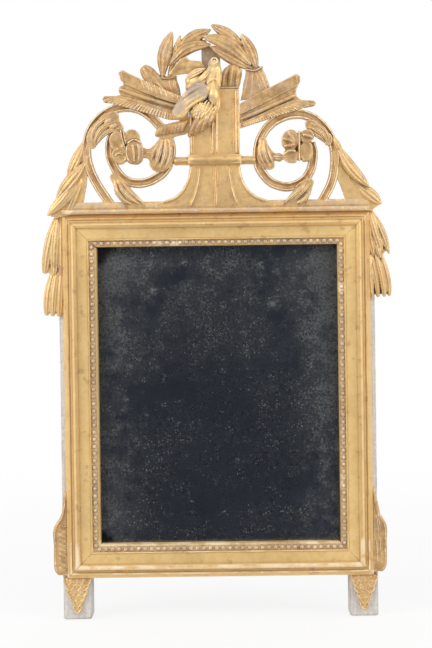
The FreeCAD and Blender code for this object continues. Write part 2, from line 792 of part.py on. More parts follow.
TAIL_ROOT_SHARE = (-0.03, 0.5)
TAIL_TIP_SHARES = ((-0.168, 0.404), (-0.118, 0.394), (-0.068, 0.4), (-0.02, 0.414))
TAIL_HALF_SHARE = 0.024
TAIL_FRONT_SHARE = 0.4


def ellipsoid(middle, across, forward, up):
    """A ball of radius 1 stretched to three radii."""
    ball = Part.makeSphere(1)
    stretch = FreeCAD.Matrix()
    stretch.scale(Vector(across, forward, up))
    round_form = ball.transformGeometry(stretch)
    round_form.translate(middle)
    return round_form


def make_dove():
    """Head, neck, breast, belly and the folded wing, resting on the face of the quiver."""
    rise = size("crest_rise")
    relief = size("dove_relief")

    def spot(share, forward_share):
        across, up = crest_spot(share)
        return Vector(across, -layer_front - relief * forward_share, up)

    head_radius = rise * DOVE_HEAD_RADIUS_SHARE
    head = spot(DOVE_HEAD_SHARE, DOVE_HEAD_FORWARD_SHARE)
    slope = spot(DOVE_NECK_SHARE, DOVE_NECK_FORWARD_SHARE) - head
    throat_radius = head_radius * DOVE_THROAT_SHARE
    neck_radius = rise * DOVE_NECK_RADIUS_SHARE
    breast_across, breast_up = (rise * share for share in DOVE_BREAST_RADIUS_SHARES)
    belly_across, belly_up = (rise * share for share in DOVE_BELLY_RADIUS_SHARES)
    belly_forward = relief * DOVE_BELLY_FORWARD_SHARE
    wing_root, wing_tip = (crest_spot(share) for share in DOVE_WING_SHARES)
    wing_half = rise * DOVE_WING_HALF_SHARE
    wing_front = layer_front + relief * DOVE_WING_FRONT_SHARE
    pieces = [
        Part.makeSphere(head_radius, head),
        Part.makeCone(throat_radius, neck_radius, slope.Length, head, slope),
        ellipsoid(spot(DOVE_BREAST_SHARE, 0), breast_across, relief, breast_up),
        ellipsoid(spot(DOVE_BELLY_SHARE, 0), belly_across, belly_forward, belly_up),
        leaf_solid(wing_root, wing_tip, wing_half, layer_front, wing_front),
    ]
    behind = Part.makeBox(2 * half_frame, rise, rise, Vector(-half_frame, -layer_front, frame_top))
    return joined(pieces).cut(behind)


def make_tail(dove_shape):
    front = layer_front + size("dove_relief") * TAIL_FRONT_SHARE
    root = crest_spot(TAIL_ROOT_SHARE)
    half = size("crest_rise") * TAIL_HALF_SHARE
    feathers = [leaf_solid(root, crest_spot(tip), half, layer_front, front) for tip in TAIL_TIP_SHARES]
    finish(shaped("dove_tail", joined(feathers).cut(dove_shape)), "dove_tail")


def make_bird():
    dove_shape = make_dove()
    finish(shaped("dove", dove_shape), "dove")
    make_tail(dove_shape)
    lay_plate("dove_raised_wing", RAISED_WING_SHARES)
    lay_plate("dove_side_feathers", SIDE_FEATHER_SHARES)


def lay_plate(name, shares):
    """A flat carved piece laid on the front of the crest board."""
    finish(plate(name, crest_corners(shares), "sizes.crest_thickness", "sizes.relief_step"), name)


# Wreath: each leaf as root, tip, half width share of the crest's rise and bend.
LEFT_WREATH_LEAVES_SHARES = (
    ((-0.302, 0.619), (-0.473, 0.774), 0.036, 0.05),
    ((-0.234, 0.587), (-0.317, 0.726), 0.036, 0.05),
    ((-0.327, 0.722), (-0.263, 0.96), 0.032, 0.1),
    ((-0.254, 0.81), (-0.215, 0.944), 0.018, 0.05),
    ((-0.239, 0.825), (-0.024, 0.974), 0.034, 0.14),
    ((-0.278, 0.77), (-0.039, 0.887), 0.034, 0.1),
)
LEFT_WREATH_STEM_SHARES = (
    (-0.22, 0.585), (-0.293, 0.718), (-0.254, 0.822), (-0.16, 0.895), (-0.044, 0.918),
)
RIGHT_WREATH_LEAVES_SHARES = (
    ((0.352, 0.617), (0.283, 0.774), 0.032, -0.05),
    ((0.244, 0.603), (0.268, 0.77), 0.036, -0.05),
    ((0.288, 0.762), (0.19, 0.935), 0.034, -0.1),
    ((0.22, 0.81), (0.0, 1.0), 0.036, -0.12),
    ((0.244, 0.785), (-0.059, 0.929), 0.04, -0.1),
    ((0.259, 0.75), (0.0, 0.877), 0.036, -0.06),
)
RIGHT_WREATH_STEM_SHARES = (
    (0.3, 0.6), (0.29, 0.745), (0.215, 0.83), (0.12, 0.9), (0.01, 0.93),
)
WREATH_STEM_SHARE = 0.03
WREATH_STEM_FRONT_SHARE = 0.8


def make_branch(word, leaf_shares, stem_shares, back, front):
    rise = size("crest_rise")
    stem = [crest_spot(share) for share in stem_shares]
    stem_front = back + (front - back) * WREATH_STEM_FRONT_SHARE
    solids = [ribbon(stem, rise * WREATH_STEM_SHARE, back, stem_front)]
    for root, tip, half, bend in leaf_shares:
        solids.append(leaf_solid(crest_spot(root), crest_spot(tip), rise * half, back, front, bend))
    finish(shaped(f"{word}_wreath", joined(solids)), f"{word}_wreath")


def make_wreath():
    """The left branch lies at the back of the crest board and the right branch in front of it."""
    split = layer_board / 2
    make_branch("left", LEFT_WREATH_LEAVES_SHARES, LEFT_WREATH_STEM_SHARES, 0, split)
    make_branch("right", RIGHT_WREATH_LEAVES_SHARES, RIGHT_WREATH_STEM_SHARES, split, layer_board)


# Arrows: the outline of the two vanes, and the shaft from the nock inwards.
LEFT_ARROW_SHARES = (
    (-0.62, 0.746), (-0.59, 0.758), (-0.463, 0.706), (-0.293, 0.643), (-0.168, 0.595), (-0.168, 0.488),
    (-0.293, 0.492), (-0.488, 0.544), (-0.634, 0.579), (-0.712, 0.587), (-0.727, 0.607), (-0.712, 0.623),
    (-0.6, 0.623), (-0.62, 0.643), (-0.615, 0.67), (-0.576, 0.683), (-0.605, 0.706),
)
LEFT_SHAFT_SHARES = ((-0.62, 0.66), (-0.168, 0.54))
RIGHT_ARROW_SHARES = (
    (0.561, 0.694), (0.571, 0.675), (0.546, 0.639), (0.532, 0.623), (0.541, 0.603), (0.566, 0.587),
    (0.649, 0.583), (0.663, 0.567), (0.644, 0.552), (0.546, 0.54), (0.488, 0.524), (0.293, 0.476),
    (0.168, 0.444), (0.168, 0.579), (0.293, 0.619), (0.39, 0.651),
)
RIGHT_SHAFT_SHARES = ((0.536, 0.615), (0.168, 0.492))


def make_arrow(word, outline_shares, shaft_shares):
    name = f"{word}_arrow"
    outline = crest_corners(outline_shares)
    vanes = plate(f"{name}_vanes", outline, "sizes.crest_thickness", "sizes.arrow_thickness")
    spots = [crest_spot(share) for share in shaft_shares]
    shaft = shaped(f"{name}_shaft", ribbon(spots, size("arrow_shaft_width"), layer_board, layer_front))
    finish(fuse(name, [vanes, shaft]), name)


# Scrolls: the middle line of each spiral stem, from below the top of the base to its inner end.
LEFT_SCROLL_SHARES = (
    (-0.673, 0.04), (-0.712, 0.087), (-0.771, 0.163), (-0.815, 0.242), (-0.834, 0.321), (-0.824, 0.401),
    (-0.78, 0.476), (-0.707, 0.532), (-0.61, 0.563), (-0.512, 0.558), (-0.429, 0.524), (-0.361, 0.468),
    (-0.312, 0.42), (-0.288, 0.37), (-0.283, 0.321), (-0.298, 0.27), (-0.332, 0.222), (-0.38, 0.19),
    (-0.449, 0.167), (-0.512, 0.163), (-0.571, 0.175), (-0.62, 0.206), (-0.654, 0.25), (-0.678, 0.302),
    (-0.683, 0.357), (-0.668, 0.401),
)
RIGHT_SCROLL_SHARES = (
    (0.683, 0.04), (0.717, 0.087), (0.756, 0.151), (0.776, 0.222), (0.78, 0.29), (0.766, 0.361),
    (0.732, 0.421), (0.683, 0.468), (0.615, 0.504), (0.527, 0.516), (0.439, 0.5), (0.366, 0.464),
    (0.317, 0.417), (0.288, 0.361), (0.278, 0.302), (0.283, 0.25), (0.312, 0.202), (0.356, 0.163),
    (0.41, 0.141), (0.468, 0.133), (0.527, 0.143), (0.576, 0.167), (0.615, 0.206), (0.634, 0.258),
    (0.639, 0.313), (0.624, 0.365),
)


def make_scroll(word, path_shares):
    """A stem with a flat back and bevelled front edges swept along its spiral, cut level on the base."""
    spots = [crest_spot(share) for share in path_shares]
    line = Part.BSplineCurve()
    line.interpolate([Vector(across, 0, up) for across, up in spots])
    start = line.value(line.FirstParameter)
    heading = line.tangent(line.FirstParameter)[0]
    sideways = heading.cross(Vector(0, 1, 0)).normalize()
    half = size("scroll_width") / 2
    bevel = size("scroll_bevel")
    section = (
        (-half, 0), (half, 0), (half, layer_board - bevel), (half - bevel, layer_board),
        (bevel - half, layer_board), (-half, layer_board - bevel),
    )
    corners = [start + sideways * across + Vector(0, -forward, 0) for across, forward in section]
    profile = Part.makePolygon(corners + corners[:1])
    stem = Part.Wire(line.toShape()).makePipeShell([profile], True, False)
    base_top = frame_top + size("base_height")
    below = Part.makeBox(
        2 * half_frame, 2 * layer_front, size("crest_rise"),
        Vector(-half_frame, -layer_front, base_top - size("crest_rise")))
    finish(shaped(f"{word}_scroll", stem.cut(below)), f"{word}_scroll")


# Leaves laid on the scrolls, as outlines.
SCROLL_LEAF_SHARES = {
    "left_calyx": (
        (-0.283, 0.381), (-0.278, 0.27), (-0.322, 0.234), (-0.39, 0.226), (-0.42, 0.254),
        (-0.415, 0.302), (-0.462, 0.302), (-0.462, 0.337), (-0.429, 0.337), (-0.376, 0.373),
    ),
    "right_calyx": (
        (0.302, 0.381), (0.278, 0.321), (0.283, 0.27), (0.322, 0.234), (0.356, 0.226), (0.385, 0.246),
        (0.38, 0.27), (0.425, 0.268), (0.425, 0.306), (0.38, 0.31), (0.351, 0.341),
    ),
    "left_sheath": (
        (-0.82, 0.381), (-0.805, 0.44), (-0.756, 0.492), (-0.683, 0.532), (-0.629, 0.532),
        (-0.615, 0.492), (-0.59, 0.448), (-0.634, 0.433), (-0.698, 0.427), (-0.756, 0.393),
        (-0.795, 0.349),
    ),
    "right_sheath": (
        (0.6, 0.476), (0.595, 0.448), (0.62, 0.421), (0.654, 0.393), (0.693, 0.385), (0.732, 0.349),
        (0.761, 0.373), (0.722, 0.429), (0.673, 0.468),
    ),
    "left_base_leaf": (
        (-0.668, 0.214), (-0.649, 0.143), (-0.615, 0.079), (-0.576, 0.036), (-0.449, 0.036),
        (-0.512, 0.083), (-0.556, 0.139), (-0.61, 0.19),
    ),
    "right_base_leaf": (
        (0.429, 0.036), (0.478, 0.075), (0.517, 0.127), (0.556, 0.159), (0.634, 0.163), (0.629, 0.127),
        (0.605, 0.083), (0.595, 0.036),
    ),
}


def make_scroll_leaves():
    for name, shares in SCROLL_LEAF_SHARES.items():
        lay_plate(name, shares)


# Flowers, in shares of a flower's reach: its middle from the scroll's inner end, four round petals
# as across, up and radius, and the slope of the rib between the pairs.
LEFT_FLOWER_SHARE = (0.92, -0.62)
LEFT_PETAL_SHARES = ((0.52, 0.62, 0.5), (-0.68, 0.47, 0.45), (-0.43, -0.53, 0.45), (0.62, -0.39, 0.5))
LEFT_RIB_SHARE = (-0.27, 1)
RIGHT_FLOWER_SHARE = (-1, -0.45)
RIGHT_PETAL_SHARES = ((-0.45, 0.35, 0.55), (-0.45, -0.6, 0.45), (0.45, 0.55, 0.5), (0.45, -0.55, 0.5))
RIGHT_RIB_SHARE = (0, 1)
FLOWER_DISC_SHARE = 0.8


def make_flower(word, scroll_shares, middle_share, petal_shares, rib_share):
    """Petals on a disc, cut back where the calyx and the sheath meet them."""
    reach = size("flower_reach")
    scroll_end = crest_spot(scroll_shares[-1])
    across, up = (start + reach * share for start, share in zip(scroll_end, middle_share))
    middle = Vector(across, -layer_board, up)
    petals = []
    for aside, above, radius in petal_shares:
        petals.append(Part.makeSphere(reach * radius, middle + Vector(reach * aside, 0, reach * above)))
    disc = Part.makeCylinder(reach * FLOWER_DISC_SHARE, size("flower_plate"), middle, Vector(0, -1, 0))
    aside, above = (reach * share for share in rib_share)
    ends = [(across - aside, up - above), (across + aside, up + above)]
    bar = ribbon(ends, size("flower_rib_width"), layer_board, layer_front)
    flower = joined([disc, bar] + petals)
    corner = Vector(across - 2 * reach, -layer_board, up - 2 * reach)
    flower = flower.cut(Part.makeBox(4 * reach, 2 * reach, 4 * reach, corner))
    for leaf in ("calyx", "sheath"):
        spots = [crest_spot(share) for share in SCROLL_LEAF_SHARES[f"{word}_{leaf}"]]
        flower = flower.cut(prism(spots, layer_board, layer_front))
    finish(shaped(f"{word}_flower", flower), f"{word}_flower")


# Garlands: leaves from the scroll down to the corner of the frame.
LEFT_GARLAND_SHARES = (
    ((-0.839, 0.401), (-0.99, 0.21), 0.034, -0.05),
    ((-0.888, 0.27), (-1.039, 0.107), 0.034, -0.05),
    ((-0.927, 0.183), (-1.098, 0.012), 0.036, -0.05),
    ((-0.849, 0.27), (-0.932, 0.032), 0.036, 0),
    ((-0.878, 0.234), (-0.995, 0.036), 0.034, 0),
)
RIGHT_GARLAND_SHARES = (
    ((0.795, 0.421), (0.85, 0.32), 0.026, 0.05),
    ((0.81, 0.37), (0.995, 0.105), 0.034, 0.05),
    ((0.893, 0.19), (1.068, 0.024), 0.036, 0.05),
    ((0.81, 0.28), (0.9, 0.032), 0.038, 0),
    ((0.854, 0.234), (0.985, 0.036), 0.036, 0),
)


def make_garland(word, leaf_shares):
    rise = size("crest_rise")
    front = layer_board + size("garland_relief")
    solids = []
    for root, tip, half, bend in leaf_shares:
        leaf = leaf_solid(crest_spot(root), crest_spot(tip), rise * half, layer_board, front, bend)
        solids.append(leaf)
    finish(shaped(f"{word}_garland", joined(solids)), f"{word}_garland")


# Drops: leaves as shares of the drop's width, out from the frame, and of its length, down from the top.
DROP_SHARES = (
    ((0.34, 0.01), (0.985, 0.54), 0.22, 0.06),
    ((0.32, 0.0), (0.58, 0.57), 0.24, 0.02),
    ((0.24, 0.0), (0.23, 0.545), 0.2, 0),
    ((0.4, 0.46), (0.985, 0.985), 0.24, 0.08),
    ((0.38, 0.4), (0.6, 0.995), 0.26, 0.02),
    ((0.24, 0.4), (0.24, 0.985), 0.2, 0),
)


def make_drop(word, side):
    width = size("drop_width")
    length = size("drop_length")
    outside = half_frame + size("trim_clearance")
    solids = []
    for root, tip, half, bend in DROP_SHARES:
        start = (side * (outside + width * root[0]), frame_top - length * root[1])
        end = (side * (outside + width * tip[0]), frame_top - length * tip[1])
        solids.append(leaf_solid(start, end, width * half, 0, size("drop_thickness"), side * bend))
    finish(shaped(f"{word}_drop", joined(solids)), f"{word}_drop")


EAR_SHARES = (
    (0, 0), (0.68, 0), (0.9, 0.04), (1, 0.12), (1, 0.57), (0.8, 0.63), (0.45, 0.71), (0.28, 0.79),
    (0.2, 0.92), (0.13, 1), (0, 1),
)


def make_ear(word, side):
    inner = f"({HALF_FRAME} + sizes.trim_clearance)"
    corners = [
        (f"{side} * ({inner} + sizes.ear_width * {across})", f"sizes.ear_lift + sizes.ear_height * {up}")
        for across, up in EAR_SHARES
    ]
    finish(plate(f"{word}_ear", corners, "0", "sizes.ear_thickness"), f"{word}_ear")


FOOT_LEAF_ROOT_SHARE = 0.28


def make_foot_leaf(word, side):
    """A leaf that points down, cut level under the moulding."""
    across = side * (stile_outside + stile_inside) / 2
    length = size("foot_leaf_length")
    top = size("frame_clearance") - size("trim_clearance")
    thickness = size("foot_leaf_thickness")
    root = (across, top + length * FOOT_LEAF_ROOT_SHARE)
    leaf = leaf_solid(root, (across, top - length), size("foot_leaf_width") / 2, 0, thickness)
    corner = Vector(across - half_frame / 2, -thickness, top)
    above = Part.makeBox(half_frame, 2 * thickness, length, corner)
    finish(shaped(f"{word}_foot_leaf", leaf.cut(above)), f"{word}_foot_leaf")


# Hanger: a plate with a rolled knuckle, its screws and the ring.
PLATE_FOOT_SHARE = 0.7


def make_hanger(holes):
    foot = f"{KNUCKLE_HEIGHT} + sizes.knuckle_radius * {PLATE_FOOT_SHARE}"
    leaf = block(
        "plate_leaf",
        ("-sizes.plate_width / 2", BOARD_BACK, foot),
        ("sizes.plate_width", "sizes.plate_thickness", "sizes.plate_height"),
    )
    axis = ("-sizes.knuckle_length / 2", KNUCKLE_DEPTH, KNUCKLE_HEIGHT)
    rightward = Vector(1, 0, 0)
    room = "sizes.ring_wire + sizes.ring_clearance"
    roll = rod("plate_roll", "sizes.knuckle_radius", "sizes.knuckle_length", axis, rightward)
    bore = rod("plate_bore", room, "sizes.knuckle_length", axis, rightward)
    drilled = cut("plate_drilled", fuse("plate_blank", [leaf, roll]), holes)
    finish(cut("hanger_plate", drilled, bore), "hanger_plate")
    start = size("rail_depth") - size("screw_bite")
    seat = board_back + size("plate_thickness")
    screws = headed_pins(
        screw_spots(), size("screw_shank"), size("screw_head"), size("screw_head_height"), start, seat)
    finish(shaped("hanger_screws", screws), "hanger_screws")


def make_ring():
    """A wire ring with a straight bar in the knuckle, two short legs and a round bottom."""
    wire = size("ring_wire")
    radius = size("ring_radius")
    corner = size("ring_corner")
    top = knuckle_height
    low = top - size("ring_drop")

    slant = corner * (1 - math.sqrt(1 / 2))

    def spot(across, up):
        return Vector(across, knuckle_depth, up)

    def bend(side):
        """The bar's end, turned down into a leg."""
        start = spot(side * (radius - corner), top)
        middle = spot(side * (radius - slant), top - slant)
        return Part.Arc(start, middle, spot(side * radius, top - corner)).toShape()

    edges = [
        Part.makeLine(spot(0, top), spot(radius - corner, top)),
        bend(RIGHT),
        Part.makeLine(spot(radius, top - corner), spot(radius, low)),
        Part.Arc(spot(radius, low), spot(0, low - radius), spot(-radius, low)).toShape(),
        Part.makeLine(spot(-radius, low), spot(-radius, top - corner)),
        bend(LEFT),
        Part.makeLine(spot(corner - radius, top), spot(0, top)),
    ]
    circle = Part.Wire(Part.makeCircle(wire, spot(0, top), Vector(1, 0, 0)))
    loop = Part.Wire(Part.__sortEdges__(edges)).makePipeShell([circle], True, False)
    finish(shaped("hanging_ring", loop), "hanging_ring")


def build():
    holes = fastener_holes()
    for word, side in SIDES:
        make_stile(word, side)
    make_rails(holes)
    make_spine()
    spans = (("sizes.frame_width", "pearl_pitch"), ("sizes.frame_height", "side_pearl_pitch"))
    slips = {span: pearl_slip(sheet_value(span), size(pitch)) for span, pitch in spans}
    for word, length, angle, place in FRAME_LENGTHS:
        make_moulding(word, length, angle, place)
        make_pearls(word, slips[length], angle, [sheet_value(text) for text in place])
    make_plate()
    make_blocks()
    make_backboards(holes)
    make_nails()
    make_base()
    make_quiver()
    make_band()
    make_mouth()
    make_bird()
    make_wreath()
    make_arrow("left", LEFT_ARROW_SHARES, LEFT_SHAFT_SHARES)
    make_arrow("right", RIGHT_ARROW_SHARES, RIGHT_SHAFT_SHARES)
    make_scroll("left", LEFT_SCROLL_SHARES)
    make_scroll("right", RIGHT_SCROLL_SHARES)
    make_scroll_leaves()
    make_flower("left", LEFT_SCROLL_SHARES, LEFT_FLOWER_SHARE, LEFT_PETAL_SHARES, LEFT_RIB_SHARE)
    make_flower("right", RIGHT_SCROLL_SHARES, RIGHT_FLOWER_SHARE, RIGHT_PETAL_SHARES, RIGHT_RIB_SHARE)
    make_garland("left", LEFT_GARLAND_SHARES)
    make_garland("right", RIGHT_GARLAND_SHARES)
    for word, side in SIDES:
        make_drop(word, side)
        make_ear(word, side)
        make_foot_leaf(word, side)
    make_hanger(holes)
    make_ring()


def export():
    """Check every object and write one file for each sub-part."""
    doc.recompute()
    for item in doc.Objects:
        if "Invalid" in item.State or "Error" in item.State:
            raise RuntimeError(f"{item.Name} did not build")
    for bar, body in mitred:
        if body.Shape.Volume >= bar.Shape.Volume:
            raise RuntimeError(f"the mitres of {body.Label} cut nothing")
    os.makedirs("parts", exist_ok=True)
    for item in finished:
        if item.Shape.isNull() or not item.Shape.isValid():
            raise RuntimeError(f"{item.Label} has no valid shape")
        item.Shape.exportStep(f"parts/{item.Label}.step")


build()
export()
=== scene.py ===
"""Carved giltwood wall mirror: carved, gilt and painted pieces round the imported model.

Metres, Z up, the face looks along -Y. Tables give places in millimetres as across, up and forward,
where forward is the distance in front of the carcase. Carvings are shaped lying on their backs,
with across along X, up along Y and forward along Z, and are then stood up.
"""

import math
import random

import bmesh
import bpy
from mathutils import Matrix, Vector


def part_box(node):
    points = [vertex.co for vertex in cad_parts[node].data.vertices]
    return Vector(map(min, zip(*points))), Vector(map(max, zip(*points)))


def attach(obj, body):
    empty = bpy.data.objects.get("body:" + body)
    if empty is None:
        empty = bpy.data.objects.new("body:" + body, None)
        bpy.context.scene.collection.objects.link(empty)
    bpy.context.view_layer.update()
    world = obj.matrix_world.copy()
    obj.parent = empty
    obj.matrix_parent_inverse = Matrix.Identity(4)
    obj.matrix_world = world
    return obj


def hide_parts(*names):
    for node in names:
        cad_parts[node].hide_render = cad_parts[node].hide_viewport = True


bl_info = {
    "name": "Carved giltwood wall mirror",
    "version": (1, 0, 0),
    "blender": (4, 5, 0),
    "location": "3D View > Sidebar > Mirror",
    "description": "Dresses the packed wall mirror with carved, gilt and painted pieces",
    "category": "Object",
}

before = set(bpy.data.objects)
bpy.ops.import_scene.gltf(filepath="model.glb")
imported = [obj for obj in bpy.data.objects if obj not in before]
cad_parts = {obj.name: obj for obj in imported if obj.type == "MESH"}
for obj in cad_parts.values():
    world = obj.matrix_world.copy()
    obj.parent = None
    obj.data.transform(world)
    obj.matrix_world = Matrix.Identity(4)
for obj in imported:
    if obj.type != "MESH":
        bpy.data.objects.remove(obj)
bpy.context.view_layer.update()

MM = 0.001
# Corners closer than this are welded, and places closer than the other count as one.
WELD = 1e-6
NEAR = 1e-4
BODY = "mirror"
LEFT = -1
RIGHT = 1
SIDES = (("left", LEFT), ("right", RIGHT))


def size(name, description, millimetres):
    """A length that a user may change."""
    return bpy.props.FloatProperty(
        name=name, description=description, default=millimetres * MM, unit="LENGTH", precision=5)


class CarvingSizes(bpy.types.PropertyGroup):
    """Sizes of the carver's work."""

    skin: size("Carving skin", "Cell of the skin that melts carved parts together", 0.6)
    ripple: size("Tool ripple", "Unevenness that the gouge and the gesso leave", 0.5)
    wobble: size("Moulding wobble", "Unevenness along the gilt mouldings", 0.5)
    pearl_radius: size("Pearl radius", "Carved pearl", 3.15)
    pearl_pitch: size("Pearl pitch", "Pearl to pearl above and below the plate", 8.6)
    side_pearl_pitch: size("Side pearl pitch", "Pearl to pearl beside the plate", 9.6)


def colour(name, description, shade):
    """A colour that a user may change."""
    return bpy.props.FloatVectorProperty(
        name=name, description=description, subtype="COLOR", size=3, min=0, max=1, default=shade)


class FinishColours(bpy.types.PropertyGroup):
    """Colours of the finishes, in linear light."""

    gold_light: colour("Light gold", "Leaf gold where it is whole", (1.0, 0.71, 0.31))
    gold_old: colour("Old gold", "Leaf of the carvings", (0.70, 0.465, 0.21))
    gold_deep: colour("Deep gold", "Leaf gold in its darker patches", (0.93, 0.62, 0.245))
    gold_brown: colour("Brown gold", "Toned gold of the carvings", (0.43, 0.25, 0.108))
    gold_warm: colour("Warm gold", "Leaf of the broad carvings", (0.80, 0.535, 0.23))
    # The batten is darkened with this colour partly as painted shade, for the shadow behind the wreath.
    toned_and_shaded: colour("Toned gold", "Dull gold of the batten behind the crest", (0.3, 0.21, 0.12))
    bole: colour("Bole", "Red clay under the leaf", (0.42, 0.16, 0.07))
    # Gesso is also laid on the bulging edges of the gilding as painted highlight.
    gesso: colour("Gesso", "Pale ground where the leaf has gone", (0.92, 0.76, 0.53))
    pearl: colour("Pearl", "Pale worn leaf on the pearls", (0.58, 0.43, 0.29))
    lilac: colour("Lilac grey", "Old grey wash on worn carving", (0.46, 0.36, 0.285))
    # The grime colour also darkens the hollows of the gilding as painted shade.
    grime_and_shade: colour("Grime", "Dirt in the hollows", (0.10, 0.05, 0.02))
    paint: colour("Post paint", "Pale grey paint of the posts", (0.66, 0.635, 0.60))
    chalk: colour("Chalk", "Pale flecks in the paint", (0.82, 0.81, 0.80))
    # This colour also darkens the hollows of the posts as painted shade.
    paint_dirt_and_shade: colour("Paint dirt", "Worn and dirty paint", (0.43, 0.385, 0.34))
    wood: colour("Old wood", "Pine darkened by age", (0.26, 0.15, 0.075))
    wood_dark: colour("Dark wood", "Late wood and dirt", (0.10, 0.052, 0.026))
    iron: colour("Iron", "Forged iron", (0.10, 0.09, 0.085))
    rust: colour("Rust", "Rust on the iron", (0.20, 0.075, 0.03))
    silver: colour("Silvering", "Aged tin behind the plate", (0.20, 0.215, 0.25))
    haze: colour("Haze", "Bluish bloom in the silvering", (0.29, 0.295, 0.3))
    dust: colour("Dust", "Pale specks in the silvering", (0.6, 0.6, 0.58))
    fox: colour("Foxing", "Dark spots where the tin has gone", (0.012, 0.012, 0.013))


class StageSettings(bpy.types.PropertyGroup):
    """Camera, light and floor."""

    lens: bpy.props.FloatProperty(
        name="Lens", description="Focal length on a 36 mm frame", default=91.33, unit="CAMERA")
    eye: bpy.props.FloatVectorProperty(
        name="Camera place", description="Where the camera stands", size=3, unit="LENGTH",
        default=(0.0137, -2.2033, 0.4303))
    turn: bpy.props.FloatVectorProperty(
        name="Camera turn", description="Turn, downward tilt and roll", size=3, subtype="EULER",
        default=(math.radians(0.396), math.radians(0.902), math.radians(-0.792)))
    left_lamp: bpy.props.FloatProperty(
        name="Left lamp", description="Soft lamp at the left", default=25.0, unit="POWER")
    right_lamp: bpy.props.FloatProperty(
        name="Right lamp", description="Soft lamp at the right", default=20.0, unit="POWER")
    fill: bpy.props.FloatProperty(
        name="Room light", description="Even light all round", default=0.71, subtype="FACTOR")
    floor: colour("Floor", "Plain pale floor", (0.92, 0.92, 0.92))


# Bench work: selecting, shaping and joining.

def only(*pieces):
    """Select these pieces alone and make the last one active."""
    bpy.ops.object.select_all(action="DESELECT")
    for piece in pieces:
        piece.select_set(True)
    bpy.context.view_layer.objects.active = pieces[-1]


def open_up(piece):
    """Go into edit mode on one piece."""
    only(piece)
    bpy.ops.object.mode_set(mode="EDIT")
    bpy.ops.mesh.select_mode(type="VERT")


def close_up():
    bpy.ops.object.mode_set(mode="OBJECT")


def sound():
    """Weld the open piece, turn its faces outward and leave edit mode."""
    bpy.ops.mesh.select_all(action="SELECT")
    bpy.ops.mesh.remove_doubles(threshold=WELD)
    bpy.ops.mesh.normals_make_consistent(inside=False)
    close_up()


def pick(piece, test):
    """Select, in edit mode, the corners whose place passes a test."""
    mesh = bmesh.from_edit_mesh(piece.data)
    for corner in mesh.verts:
        corner.select = test(corner.co)
    mesh.select_flush_mode()
    bmesh.update_edit_mesh(piece.data)


def settle(piece):
    """Put a piece's place, turn and scale into its mesh."""
    only(piece)
    bpy.ops.object.transform_apply(location=True, rotation=True, scale=True)
    return piece


def copy_of(master):
    """A copy with a mesh of its own."""
    twin = master.copy()
    twin.data = master.data.copy()
    bpy.context.collection.objects.link(twin)
    return twin


def applied(piece, kind, **settings):
    """Add a modifier, set it and apply it."""
    only(piece)
    modifier = piece.modifiers.new(kind.lower(), kind)
    for name, value in settings.items():
        setattr(modifier, name, value)
    bpy.ops.object.modifier_apply(modifier=modifier.name)
    return piece


def cleared(*pieces):
    """Throw helpers away."""
    only(*pieces)
    bpy.ops.object.delete()


def joined(parts):
    """Join parts into one piece."""
    only(*parts)
    if len(parts) > 1:
        bpy.ops.object.join()
    return bpy.context.object


def metres(spot):
    """A place in millimetres, with forward left out where it is 0, as metres."""
    across, up, forward = (tuple(spot) + (0,))[:3]
    return Vector((across, up, forward)) * MM


def raised(path, ground):
    """A path of (across, up) places lifted to one height."""
    return [(*spot[:2], ground) for spot in path]


def between(first, second, share):
    """The place at a share of the way from one place to another."""
    return tuple(a + (b - a) * share for a, b in zip(first, second))


def along(line, share):
    """The place at a share of a line of evenly spaced places."""
    spot = share * (len(line) - 1)
    index = min(int(spot), len(line) - 2)
    return between(line[index], line[index + 1], spot - index)


def guide_line(path, closed=False, flat=False):
    """A smooth line through a few places."""
    data = bpy.data.curves.new("guide", "CURVE")
    data.dimensions = "2D" if flat else "3D"
    data.twist_mode = "Z_UP"
    data.resolution_u = 10
    spline = data.splines.new("BEZIER")
    spline.bezier_points.add(len(path) - 1)
    for point, spot in zip(spline.bezier_points, path):
        point.co = metres(spot)
        point.handle_left_type = "AUTO"
        point.handle_right_type = "AUTO"
    spline.use_cyclic_u = closed
    line = bpy.data.objects.new("guide", data)
    bpy.context.collection.objects.link(line)
    return line


def squared(line):
    """Sharp corners at every place of a line."""
    for point in line.data.splines[0].bezier_points:
        point.handle_left_type = "VECTOR"
        point.handle_right_type = "VECTOR"


